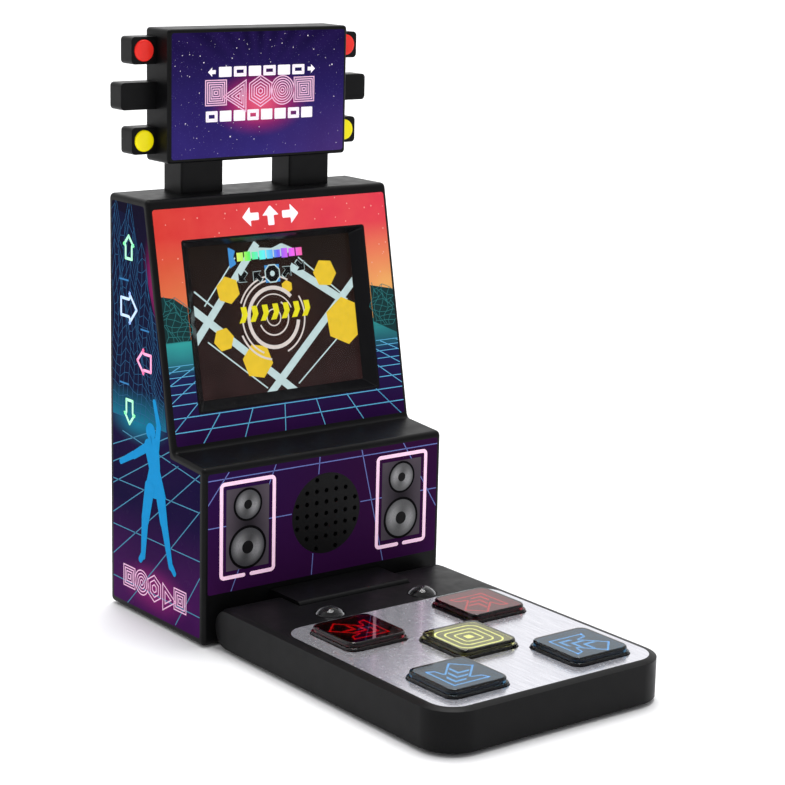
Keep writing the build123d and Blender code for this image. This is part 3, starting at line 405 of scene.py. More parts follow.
def driver_cone_finish(name):
    """Spun metal cone: bright fans to each side and a darker rim, on the disc's own map."""
    material, tree, shader = new_finish(name)
    uv = tree.nodes.new("ShaderNodeTexCoord").outputs["UV"]
    centred = vector_maths(tree, "SUBTRACT", uv, (0.5, 0.5, 0.0))
    axes = axes_of(tree, centred)
    art = mixed(tree, wave(tree, axes["X"], axes["Y"], 2.0, 0.6), shade(62, 62, 64), shade(158, 158, 160))
    art = mixed(tree, times(tree, noise(tree, 2600, 2.0), 0.35), art, shade(92, 92, 94))
    rim = ranged(tree, vector_maths(tree, "LENGTH", centred), 0.34, 0.5)
    set_sockets(shader, Base_Color=mixed(tree, rim, art, shade(60, 60, 64)), Roughness=0.3)
    return material


def display_colours(tree):
    """Dark brown picture that warms behind the rings."""
    brown = mixed(tree, panel_height(tree, 57, 13), shade(24, 15, 8), shade(48, 30, 30))
    brown = mixed(tree, times(tree, noise(tree, 120, 2.0), 0.5), brown, shade(18, 10, 7))
    warm = glow_at(tree, PANEL_ORIGIN + PANEL_UP * DISPLAY_CENTRE * MM, (0.024, 0.03, 0.024))
    return mixed(tree, times(tree, warm, 0.5), brown, shade(58, 30, 20))


def rainbow_colours(tree):
    """All hues from one side of the score bar to the other."""
    hue = tree.nodes.new("ShaderNodeCombineColor")
    hue.mode = "HSV"
    turn = mixed(tree, run_along(tree, X, -0.0125, 0.0125), [0.16] * 3, [0.98] * 3)
    set_sockets(hue, Red=turn, Green=0.85, Blue=0.95)
    return hue.outputs["Color"]


def lit_picture(name, colour_of, glow=1.0):
    """A lit part of the display: colour_of is a colour or a function that makes one."""
    material, tree, shader = new_finish(name)
    colour = colour_of(tree) if callable(colour_of) else mottled(tree, colour_of, 0.9, 500, 2.0)
    set_sockets(
        shader, Roughness=0.6, Specular_IOR_Level=0.0, Base_Color=(0.01, 0.01, 0.01, 1.0),
        Emission_Color=colour, Emission_Strength=glow,
    )
    return material


def silver_sheet_finish(name):
    """Brushed silver film under a thin lacquer, its streaks running away from the player."""
    material, tree, shader = new_finish(name)
    streak = tree.nodes.new("ShaderNodeTexNoise")
    stretched = vector_maths(tree, "MULTIPLY", place_of(tree), (1500, 90, 400))
    set_sockets(streak, Scale=1.0, Detail=3.0, Vector=stretched)
    brushed = streak.outputs["Fac"]
    set_sockets(
        shader, Base_Color=mixed(tree, brushed, shade(180, 180, 190), shade(228, 228, 234)),
        Metallic=0.75, Coat_Weight=0.25, Coat_Roughness=0.08,
        Roughness=noise(tree, 800, 3.0, 0.20, 0.28),
    )
    bump(tree, shader, brushed, 0.02, 0.00001)
    return material


def circuit_board_finish(name):
    material, tree, shader = new_finish(name)
    board = mixed(tree, specks(tree, 500, 0.22), (0.015, 0.10, 0.04), (0.45, 0.40, 0.22))
    set_sockets(shader, Base_Color=board, Roughness=0.3)
    return material


def cell_wrap_finish(name):
    material, tree, shader = new_finish(name)
    wrap = mixed(tree, run_along(tree, X, 0.012, 0.0125), (0.02, 0.16, 0.07), (0.7, 0.55, 0.2))
    set_sockets(shader, Base_Color=wrap, Roughness=0.25, Metallic=0.4)
    return material


# Shaping helpers. Art is drawn in millimetres, flat, and placed by a matrix.
def toward(heading):
    """The direction of a heading in degrees on an art plane."""
    return Vector((cos(radians(heading)), sin(radians(heading))))


def spots_about(middle, ahead, spots, reach=1.0):
    """Points given as ahead and aside of a middle."""
    aside = Vector((-ahead.y, ahead.x))
    return [tuple(Vector(middle) + (ahead * a + aside * b) * reach) for a, b in spots]


def merge(bm, part):
    """Move a part's shapes into bm."""
    mesh = bpy.data.meshes.new("part")
    part.to_mesh(mesh)
    part.free()
    bm.from_mesh(mesh)
    bpy.data.meshes.remove(mesh)


def ink_bar(bm, start, end, width, lift=0.0):
    """A straight printed line."""
    a, b = Vector(start), Vector(end)
    run = b - a
    middle = (a + b) / 2
    place = Matrix.Translation((middle.x, middle.y, lift + INK / 2))
    turn = Matrix.Rotation(atan2(run.y, run.x), 4, "Z")
    bmesh.ops.create_cube(bm, size=1, matrix=place @ turn @ Matrix.Diagonal((run.length, width, INK, 1)))


def press(shape, bm, lift):
    """Give a flat shape the thickness of ink and add it to bm."""
    grown = bmesh.ops.extrude_face_region(shape, geom=shape.faces[:])
    raised = [v for v in grown["geom"] if isinstance(v, bmesh.types.BMVert)]
    bmesh.ops.translate(shape, verts=raised, vec=(0, 0, INK))
    bmesh.ops.translate(shape, verts=shape.verts[:], vec=(0, 0, lift))
    bmesh.ops.recalc_face_normals(shape, faces=shape.faces[:])
    merge(bm, shape)


def hollow(shape, line):
    """Keep only the outline of a flat shape."""
    inside = shape.faces[:]
    bmesh.ops.inset_region(shape, faces=inside, thickness=line, use_boundary=True, use_even_offset=True)
    bmesh.ops.delete(shape, geom=inside, context="FACES")


def ink_shape(bm, points, lift=0.0, corner=0.0, line=0.0):
    """A printed shape from its corners; with a line width, only its outline."""
    shape = bmesh.new()
    corners = [shape.verts.new((x, y, 0)) for x, y in points]
    shape.faces.new(corners)
    if corner:
        bmesh.ops.bevel(
            shape, geom=corners, affect="VERTICES", offset=corner, segments=4, profile=0.5, material=-1
        )
    bmesh.ops.recalc_face_normals(shape, faces=shape.faces[:])
    if line:
        hollow(shape, line)
    press(shape, bm, lift)


def box_of(left, bottom, right, top):
    return [(left, bottom), (right, bottom), (right, top), (left, top)]


def ink_disc(bm, centre, radius, line=0.0, lift=0.0, sides=40, turn=0.0):
    """A printed disc or regular shape; with a line width, a ring."""
    shape = bmesh.new()
    place = Matrix.Translation((*centre, 0)) @ Matrix.Rotation(turn, 4, "Z")
    bmesh.ops.create_circle(shape, cap_ends=True, segments=sides, radius=radius, matrix=place)
    if line:
        hollow(shape, line)
    press(shape, bm, lift)


def ink_arc(bm, centre, radius, line, start, sweep, lift, steps):
    """Part of a printed ring, made by spinning a short line; angles in degrees."""
    shape = bmesh.new()
    out = toward(start).to_3d()
    middle = Vector((*centre, 0))
    ends = [shape.verts.new(middle + out * r) for r in (radius - line, radius)]
    edge = shape.edges.new(ends)
    bmesh.ops.spin(
        shape, geom=ends + [edge], cent=middle, axis=(0, 0, 1), angle=radians(sweep), steps=steps,
        use_merge=False,
    )
    press(shape, bm, lift)


def block_arrow(tip, heading, length, width, stem, head):
    """The seven corners of an arrow with its tip at tip, pointing along heading (degrees)."""
    return spots_about(tip, toward(heading), [
        (0, 0), (-head, width / 2), (-head, stem / 2), (-length, stem / 2),
        (-length, -stem / 2), (-head, -stem / 2), (-head, -width / 2),
    ])


def cut_along(bm, point, outward, clear=False):
    """Cut everything along a plane; with clear, the outer part is dropped."""
    return bmesh.ops.bisect_plane(
        bm, geom=bm.verts[:] + bm.edges[:] + bm.faces[:], plane_co=point, plane_no=outward,
        clear_outer=clear, dist=1e-5,
    )


def drop_faces(bm, faces):
    """Take faces out and close the ends that this leaves."""
    bmesh.ops.delete(bm, geom=faces, context="FACES")
    bmesh.ops.holes_fill(bm, edges=[e for e in bm.edges if e.is_boundary], sides=0)


def clip_to(bm, points):
    """Cut printed lines back to a convex outline, given anticlockwise."""
    for (ax, ay), (bx, by) in zip(points, points[1:] + points[:1]):
        cut = cut_along(bm, (ax, ay, 0), (by - ay, ax - bx, 0), clear=True)
        rim = [e for e in cut["geom_cut"] if isinstance(e, bmesh.types.BMEdge)]
        bmesh.ops.holes_fill(bm, edges=[e for e in rim if e.is_boundary], sides=0)


def wire_hills(bm, left, right, base, height_of, columns, rows, width, lift):
    """A hill drawn as a wire net: strokes along the edges of a lifted grid."""
    grid = bmesh.new()
    bmesh.ops.create_grid(grid, x_segments=columns, y_segments=rows, size=0.5)
    for v in grid.verts:
        u, t = v.co.x + 0.5, v.co.y + 0.5
        x = left + (right - left) * u
        v.co = (x + 1.1 * sin(9 * t + 5 * u), base + height_of(u) * t * (1 + 0.10 * sin(23 * u + 7 * t)), 0)
    for e in grid.edges:
        a, b = (v.co.xy for v in e.verts)
        ink_bar(bm, a, b, width, lift)
    grid.free()


def add_piece(name, bm, material, body, matrix=None, smooth=False):
    """Finish a bmesh as an object at the origin that rides on a body."""
    if matrix is not None:
        bmesh.ops.transform(bm, matrix=matrix, verts=bm.verts[:])
        bmesh.ops.recalc_face_normals(bm, faces=bm.faces[:])
    for f in bm.faces:
        f.smooth = smooth
    mesh = bpy.data.meshes.new(name)
    bm.to_mesh(mesh)
    bm.free()
    piece = bpy.data.objects.new(name, mesh)
    bpy.context.scene.collection.objects.link(piece)
    mesh.materials.append(material)
    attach(piece, body)
    return piece


def smooth_copy(node, material, crease=32):
    """A merged copy of a CAD node with smooth curved faces and crisp edges, shown in its place."""
    source = frame["nodes"][node]
    bm = bmesh.new()
    bm.from_mesh(source.data)
    bmesh.ops.remove_doubles(bm, verts=bm.verts[:], dist=1e-6)
    for e in bm.edges:
        e.smooth = len(e.link_faces) == 2 and e.calc_face_angle(0) < radians(crease)
    piece = add_piece(f"{node}_finish", bm, material, source["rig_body"], smooth=True)
    weights = piece.modifiers.new("even_faces", "WEIGHTED_NORMAL")
    weights.keep_sharp = True
    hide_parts(node)
    return piece


def coat(node, material):
    """Give a CAD node its finish."""
    for material_slot in frame["nodes"][node].material_slots:
        material_slot.material = material


# Adjustable sizes and colours.
def colour_property(name, description, *screen):
    return FloatVectorProperty(
        name=name, description=description, subtype="COLOR", min=0, max=1, default=shade(*screen)
    )


def length_property(name, description, millimetres):
    return FloatProperty(
        name=name, description=description, unit="LENGTH", min=0, default=millimetres * MM
    )


class MachineColours(bpy.types.PropertyGroup):
    moulding: colour_property("Moulding", "Black plastic of the cabinet, sign and pad", 11, 11, 12)
    neon: colour_property("Neon", "Tubes printed round the speaker stacks", 255, 214, 240)
    grid: colour_property("Grid", "Lines of the printed dance floor", 100, 186, 228)
    hill: colour_property("Hills", "Wire hills beside the screen", 32, 60, 62)
    hill_net: colour_property("Hill net", "Wires of the hills", 52, 128, 130)
    title: colour_property("Title", "Marks on the sign", 252, 246, 252)
    title_stripe: colour_property("Title stripes", "Striped shapes on the sign", 246, 196, 226)
    dancer: colour_property("Dancer", "Dancing figure on the sides", 24, 142, 204)
    red: colour_property("Red", "Red lamps and caps", 232, 46, 38)
    yellow: colour_property("Yellow", "Yellow lamps and caps", 246, 230, 12)
    blue: colour_property("Blue", "Blue caps", 70, 150, 222)


class MachineSizes(bpy.types.PropertyGroup):
    grid_line: length_property("Grid line", "Width of the dance floor lines", 0.29)
    hill_line: length_property("Hill line", "Width of the hill wires", 0.14)
    neon_line: length_property("Neon tube", "Width of the tubes round the speaker stacks", 1.12)
    arrow_line: length_property("Arrow line", "Width of the arrows on the sides", 0.85)
    cap_line: length_property("Cap line", "Width of the lines inside the button caps", 0.55)
    stars: IntProperty(name="Stars", description="Stars on the sign", default=170, min=0, max=600)
    lens_length: FloatProperty(name="Lens", description="For a 36 mm sensor", default=101.28, min=1)


class StudioSettings(bpy.types.PropertyGroup):
    surround: FloatProperty(name="Surround", description="Light all around", default=0.90, min=0)
    key: FloatProperty(name="Key light", description="Broad light from above", default=2.1, min=0)
    top: FloatProperty(name="Top light", description="Light behind", unit="POWER", default=4.0)
    floor_tone: colour_property("Floor", "Colour of the studio floor", 246, 246, 247)


def colours():
    return bpy.context.scene.machine_colours


def sizes():
    return bpy.context.scene.machine_sizes


# The machine's finishes.
FINISHES = {
    "satin_black": lambda n: moulded_black(n, colours().moulding, 0.34, 0.44),
    "matt_black": lambda n: moulded_black(n, colours().moulding, 0.44, 0.56, 0.2),
    "gloss_black": lambda n: moulded_black(n, shade(16, 16, 18), 0.14, 0.22, 0.05),
    "grille_black": lambda n: moulded_black(n, shade(14, 13, 15), 0.5, 0.6, 0.25),
    "side_print": lambda n: printed_film(n, side_art_colours),
    "screen_print": lambda n: printed_film(n, screen_art_colours),
    "speaker_print": lambda n: printed_film(n, speaker_art_colours),
    "sign_print": lambda n: printed_film(n, sign_art_colours),
    "speaker_plate": lambda n: printed_film(n, speaker_plate_colours),
    "driver_cone": driver_cone_finish,
    # The glow numbers given with the inks below are painted glow, brighter than the light on the print gives.
    "neon_ink": lambda n: ink(n, colours().neon, 0.35),
    "grid_ink": lambda n: ink(n, colours().grid, 0.10),
    "side_grid_ink": lambda n: ink(n, [c * 0.55 for c in colours().grid], 0.05),
    "hill_ink": lambda n: ink(n, colours().hill),
    "hill_net_ink": lambda n: ink(n, colours().hill_net, 0.05),
    "white_ink": lambda n: ink(n, colours().title, 0.2),
    "stripe_ink": lambda n: ink(n, colours().title_stripe, 0.15),
    "mint_ink": lambda n: ink(n, shade(176, 246, 206), 0.35),
    "pink_ink": lambda n: ink(n, shade(250, 168, 208), 0.3),
    "dash_ink": lambda n: ink(n, shade(60, 130, 190)),
    "ice_ink": lambda n: ink(n, shade(196, 220, 252), 0.3),
    "slope_ink": lambda n: printed_film(n, slope_colours),
    "slope_net_ink": lambda n: ink(n, shade(44, 96, 140), 0.05),
    "violet_ink": lambda n: ink(n, shade(118, 134, 206), 0.05),
    "dancer_ink": lambda n: ink(n, colours().dancer, 0.05),
    "bar_ink": lambda n: ink(n, shade(240, 190, 224), 0.15),
    "black_ink": lambda n: ink(n, shade(14, 13, 15), roughness=0.4),
    "picture": lambda n: lit_picture(n, display_colours),
    "picture_gold": lambda n: lit_picture(n, shade(240, 202, 50)),
    "picture_yellow": lambda n: lit_picture(n, shade(238, 228, 34)),
    "picture_pale": lambda n: lit_picture(n, shade(198, 222, 222)),
    "picture_ring": lambda n: lit_picture(n, shade(226, 216, 210)),
    "picture_black": lambda n: lit_picture(n, shade(12, 12, 14), 0.5),
    "picture_sky": lambda n: lit_picture(n, shade(70, 150, 220)),
    "picture_rainbow": lambda n: lit_picture(n, rainbow_colours),
    "clear_lens": lambda n: clear_plastic(n, (0.97, 0.97, 0.98), 0.0, 1.12),
    "clear_dome": lambda n: clear_plastic(n, (0.55, 0.56, 0.58), 0.02, 1.36),
    "red_cap": lambda n: clear_plastic(n, (0.50, 0.04, 0.06)),
    "yellow_cap": lambda n: clear_plastic(n, (0.80, 0.80, 0.34)),
    "blue_cap": lambda n: clear_plastic(n, (0.06, 0.24, 0.40)),
    "red_lamp": lambda n: lamp_finish(n, colours().red),
    "yellow_lamp": lambda n: lamp_finish(n, colours().yellow),
    # The marks under the caps carry painted glow too, the blue one strongest.
    "red_mark": lambda n: ink(n, shade(250, 84, 70), 0.55),
    "yellow_mark": lambda n: ink(n, shade(240, 243, 214), 0.6),
    "blue_mark": lambda n: ink(n, shade(214, 232, 255), 1.6),
    "insert_card": lambda n: moulded_black(n, shade(24, 23, 27), 0.3, 0.4, 0.05),
    "silver_sheet": silver_sheet_finish,
    "steel": lambda n: metal(n, (0.52, 0.52, 0.54), 0.25),
    "rubber": lambda n: moulded_black(n, shade(26, 26, 27), 0.7, 0.85, 0.5),
    "membrane": lambda n: moulded_black(n, shade(150, 150, 156), 0.5, 0.65, 0.1),
    "speaker_paper": lambda n: moulded_black(n, shade(22, 22, 22), 0.75, 0.9, 0.6),
    "circuit_board": circuit_board_finish,
    "cell_wrap": cell_wrap_finish,
}


def finish(name):
    """The named finish, made the first time it is asked for."""
    return bpy.data.materials.get(f"{name}_finish") or FINISHES[name](name)


# Shapes of the art.
def along(points, x):
    """Height of a line of points, left to right, at x."""
    for (ax, ay), (bx, by) in zip(points, points[1:]):
        if ax <= x <= bx:
            return ay + (by - ay) * (x - ax) / (bx - ax)
    return points[0][1] if x < points[0][0] else points[-1][1]


def plate(name, draw, finish_name, matrix, body="cabinet"):
    """One printed piece from a function that draws its shapes."""
    bm = bmesh.new()
    draw(bm)
    return add_piece(name, bm, finish(finish_name), body, matrix)


def corner_mark(bm, corner, reach, line):
    """Outlined arrow to a corner: two wings, a stem and three chevrons inside."""
    ahead = toward(45 * (corner[0] * (2 - corner[1])))
    outline = [
        (1.0, 0), (0.0, 1.0), (-0.14, 0.72), (0.06, 0.40), (-0.92, 0.40),
        (-0.92, -0.40), (0.06, -0.40), (-0.14, -0.72), (0.0, -1.0),
    ]
    ink_shape(bm, spots_about((0, 0), ahead, outline, reach), 0, 0.2, line)
    for start in (0.68, 0.30, -0.08):
        chevron = [
            (start, 0), (start - 0.3, 0.3), (start - 0.44, 0.3), (start - 0.14, 0),
            (start - 0.44, -0.3), (start - 0.3, -0.3),
        ]
        ink_shape(bm, spots_about((0, 0), ahead, chevron, reach))


def floor_lines(bm, width):
    """Dance floor lines that run over a side, as far as its lower block goes."""
    rising = [
        (49.7, 48.6, 24.8, 58.0), (49.7, 43.3, 18.6, 57.2), (49.8, 36.8, 17.4, 53.4),
        (49.9, 27.8, 9.7, 52.1), (50.0, 14.9, 1.8, 50.1), (41.3, 2.0, 1.7, 39.6), (14.6, 2.9, 1.6, 20.5),
    ]
    level = [
        (49.8, 38.8, 1.3, 39.1), (49.9, 24.9, 1.6, 25.0), (43.4, 54.1, 1.8, 47.8), (49.9, 9.0, 1.6, 8.6),
    ]
    for ax, ay, bx, by in rising + level:
        ink_bar(bm, (ax, ay), (bx, by), width)


def dancer(bm, lift):
    """A plain dancing figure: rounded limbs, a flared skirt and a disc for the head."""
    ink_disc(bm, (27.8, 57.0), 2.5, lift=lift, sides=32)
    skirt = [(23.2, 47.4), (28.2, 47.2), (31.2, 38.6), (26.0, 37.6), (19.4, 38.8)]
    ink_shape(bm, skirt, lift + LAYER / 8, 0.7)
    limbs = [
        ((27.2, 52.6), (25.6, 46.4), 8.4, 5.4), ((27.7, 55.2), (27.3, 53.0), 1.8, 2.4),
        ((30.6, 51.6), (37.2, 48.0), 2.9, 2.3), ((37.2, 48.2), (44.4, 44.6), 2.3, 1.6),
        ((24.6, 52.4), (23.4, 59.4), 2.9, 2.3), ((23.4, 59.4), (25.8, 66.2), 2.3, 1.6),
        ((28.3, 40.6), (30.8, 30.1), 5.2, 3.8), ((30.8, 30.8), (32.0, 18.8), 3.8, 2.2),
        ((22.8, 40.6), (20.6, 31.4), 5.2, 3.8), ((20.7, 32.2), (16.9, 19.4), 3.8, 2.2),
        ((32.0, 19.4), (33.6, 17.4), 2.4, 1.8), ((16.9, 20.0), (14.9, 18.0), 2.4, 1.8),
    ]
    for n, (start, end, wide, narrow) in enumerate(limbs):
        taper(bm, start, end, wide, narrow, lift + (n + 2) * LAYER / 8)


def taper(bm, start, end, wide, narrow, lift):
    """A rounded limb that narrows from start to end."""
    a, b = Vector(start), Vector(end)
    run = (b - a).normalized()
    aside = Vector((-run.y, run.x))
    points = [
        a + aside * wide / 2 - run * wide * 0.3, b + aside * narrow / 2 + run * narrow * 0.4,
        b - aside * narrow / 2 + run * narrow * 0.4, a - aside * wide / 2 - run * wide * 0.3,
    ]
    ink_shape(bm, [tuple(p) for p in points], lift, corner=narrow * 0.45)


def striped_shapes(bm, left, width, middle, height, line, lift, fewer=0):
    """Five shapes in nested stripes: square, triangle, six sides, disc and square again."""
    pitch = width / 5
    radius = min(pitch * 0.62, height * 0.55)
    shapes = ((4, 45, 1.1, 6), (3, 90, 1.16, 4), (6, 0, 0.98, 5), (40, 0, 0.9, 6), (4, 45, 1.1, 6))
    for n, (sides, turn, share, rings) in enumerate(shapes):
        drop = radius * 0.25 if sides == 3 else 0
        centre = (left + pitch * (n + 0.5), middle - drop)
        nested(bm, centre, radius * share, sides, turn, rings - fewer, line, lift)


def nested(bm, centre, radius, sides, turn, rings, line, lift):
    """Rings of the same shape, one inside the next."""
    for n in range(rings):
        size = radius * (1 - n / rings)
        if size > line * 1.2:
            ink_disc(bm, centre, size, min(line, size * 0.6), lift, sides, radians(turn))


# Operators.
class RHYTHM_OT_cabinet(bpy.types.Operator):
    """Finish the cabinet shell, its back and everything fitted inside it"""

    bl_idname = "rhythm.cabinet"
    bl_label = "Cabinet"

    def execute(self, context):
        for node, name, slot in (
            ("cabinet_shell", "satin_black", "black_plastic"),
            ("back_cover", "matt_black", "black_plastic"),
            ("battery_door", "matt_black", "black_plastic"),
            ("power_switch", "matt_black", "black_plastic"),
            ("hinge_tongue", "satin_black", "black_plastic"),
            ("speaker_cone", "speaker_paper", "speaker_paper"),
            ("cabinet_feet", "rubber", "rubber"),
        ):
            smooth_copy(node, finish(name))
        for node, name in (
            ("back_cover_screws", "steel"), ("board_screws", "steel"), ("door_screw", "steel"),
            ("tongue_screws", "steel"), ("post_screws", "steel"), ("hinge_pin", "steel"),
            ("battery_contacts", "steel"), ("battery_cells", "cell_wrap"), ("battery_tray", "matt_black"),
            ("switch_body", "matt_black"), ("speaker_frame", "matt_black"), ("main_board", "circuit_board"),
        ):
            coat(node, finish(name))
        return {"FINISHED"}


class RHYTHM_OT_side_prints(bpy.types.Operator):
    """Print the art on the two sides of the cabinet"""

    bl_idname = "rhythm.side_prints"
    bl_label = "Side prints"

    def execute(self, context):
        lower = [(1.9, 2.4), (48.8, 2.4), (48.8, 50.0), (1.9, 50.0)]
        upper = [(17.3, 50.0), (48.8, 50.0), (48.8, 120.9), (31.6, 120.9)]
        ridge = [(21.5, 74.0), (24.3, 86.5), (30.7, 103.1), (36.4, 113.7), (39.3, 117.5), (48.8, 118.9)]
        foot = 58.5

        def floor(bm):
            for outline in (lower, upper):
                part = bmesh.new()
                floor_lines(part, sizes().grid_line / MM)
                clip_to(part, outline)
                merge(bm, part)

        def net(bm):
            wire_hills(
                bm, 48.6, 20.4, foot, lambda u: along(ridge, 48.6 - 28.2 * u) - foot,
                13, 19, sizes().hill_line / MM, LAYER,
            )
            clip_to(bm, upper)

        def hill(bm):
            ink_shape(bm, [*ridge, (48.8, foot), (19.4, foot)])

        def arrows(*each):
            def draw(bm):
                for layers, *arrow in each:
                    points = block_arrow(*arrow)
                    ink_shape(bm, points, LAYER * layers, ROUNDED, sizes().arrow_line / MM)
            return draw

        def dashes(bm):
            for start, end, height in ((44.6, 39.6, 98.8), (33.1, 28.5, 85.8), (44.7, 39.6, 68.5)):
                ink_bar(bm, (start, height), (end, height), 0.5, LAYER * 2)

        drawings = (
            ("floor_lines", floor, "side_grid_ink"),
            ("hill_net", net, "slope_net_ink"),
            ("hill", hill, "slope_ink"),
            ("white_arrow", arrows((2, (34.7, 90.9), 180, 9.5, 10.1, 5.9, 4.7)), "ice_ink"),
            ("arrows", arrows(
                (2, (39.5, 112.3), 90, 7.6, 6.6, 4.2, 3.5), (3, (39.3, 56.3), -90, 8.0, 6.8, 4.3, 3.8)
            ), "mint_ink"),
            ("pink_arrow", arrows((2, (35.5, 76.6), 0, 8.3, 8.3, 5.6, 4.1)), "pink_ink"),
            ("dashes", dashes, "dash_ink"),
            ("dancer", lambda bm: dancer(bm, LAYER * 2), "dancer_ink"),
            ("stripes", lambda bm: striped_shapes(bm, 8.6, 34.6, 10.7, 8.2, 0.36, LAYER * 2, 2), "bar_ink"),
        )
        for side, art in SIDE_ART.items():
            coat(f"side_decal_{side}", finish("side_print"))
            for name, draw, material in drawings:
                plate(f"side_{name}_{side}", draw, material, art)
        return {"FINISHED"}


class RHYTHM_OT_screen_print(bpy.types.Operator):
    """Print the sunset, hills and dance floor round the screen"""

    bl_idname = "rhythm.screen_print"
    bl_label = "Screen panel print"

    def execute(self, context):
        coat("screen_panel_decal", finish("screen_print"))
        line = sizes().grid_line / MM
        wire = sizes().hill_line / MM
        left_ridge = [(-40.6, 44.0), (-36.7, 43.2), (-32.7, 40.4)]
        right_ridge = [(32.5, 40.9), (36.3, 40.1), (40.6, 39.2)]

        def hills(bm):
            left = [(-40.6, 30.8), (-32.3, 30.8), (-32.3, 40.2), *left_ridge[:0:-1], left_ridge[0]]
            ink_shape(bm, left)
            ink_shape(bm, [(32.3, 30.0), (40.6, 26.0), *right_ridge[::-1], (32.3, 41.0)])

        def nets(bm):
            sides = ((-40.5, -32.4, 30.9, left_ridge), (32.4, 40.5, 28.6, right_ridge))
            for start, end, foot, ridge in sides:
                wire_hills(
                    bm, start, end, foot, lambda u: along(ridge, start + 8.1 * u) - foot, 5, 8, wire, LAYER
                )
            clip_to(bm, box_of(-40.6, 24.0, 40.6, 44.2))

        def floor(bm):
            for n, s in enumerate((24.2, 22.7, 21.0, 18.8, 16.3, 13.2, 9.5, 5.4)):
                width = line * (0.6 + 0.06 * n)
                for start, end in ((-42, -32.4), (32.4, 42)) if s > 9.6 else ((-42, 42),):
                    ink_bar(bm, (start, s), (end, s), width)
            for x in range(-11, 12):
                foot = 11.2 + 14.6 * x
                if abs(foot) < 60:
                    ink_bar(bm, (foot, 0.4), (foot * (40 - 9.7) / 39.6, 9.7), line)
                if 32.3 < abs(foot * (40 - 16) / 39.6) + 8:
                    ink_bar(bm, (foot, 0.4), (foot * 16 / 39.6, 24.0), line * 0.8)
            clip_to(bm, box_of(-40.6, PANEL_START, 40.6, 25.0))
            cut_screen_opening(bm)

        def marks(bm):
            for x, heading in ((-8.0, 180), (-1.0, 90), (6.0, 0)):
                tip = Vector((x, 64.3)) + toward(heading) * 2.9
                ink_shape(bm, block_arrow(tip, heading, 5.8, 5.8, 2.2, 2.9), LAYER, ROUNDED)

        for name, draw, material in (
            ("hills", hills, "hill_ink"), ("hill_nets", nets, "hill_net_ink"),
            ("floor_lines", floor, "grid_ink"), ("marks", marks, "white_ink"),
        ):
            plate(f"screen_{name}", draw, material, PANEL_ART)
        return {"FINISHED"}


def cut_screen_opening(bm):
    """Cut printed lines away where the screen's opening is."""
    for point, outward in (
        ((-OPENING_SIDE, 0, 0), X), ((OPENING_SIDE, 0, 0), X), ((0, OPENING_FOOT, 0), Y),
    ):
        cut_along(bm, point, outward)
    inside = []
    for f in bm.faces:
        middle = f.calc_center_median()
        if abs(middle.x) < OPENING_SIDE - 0.05 and middle.y > OPENING_FOOT + 0.05:
            inside.append(f)
    drop_faces(bm, inside)


# Middle, heading and reach of each arrow in the display.
MOVE_ARROWS = (
    ((-10.4, 46.9), 225, 3.0), ((-5.2, 47.3), 135, 3.0), ((5.8, 47.9), 45, 3.0), ((10.8, 48.6), -45, 3.0),
)


def move_arrow(middle, heading, reach):
    """A stubby arrow about its middle."""
    tip = Vector(middle) + toward(heading) * reach / 2
    return block_arrow(tip, heading, reach * 1.25, reach * 1.3, reach * 0.42, reach * 0.62)


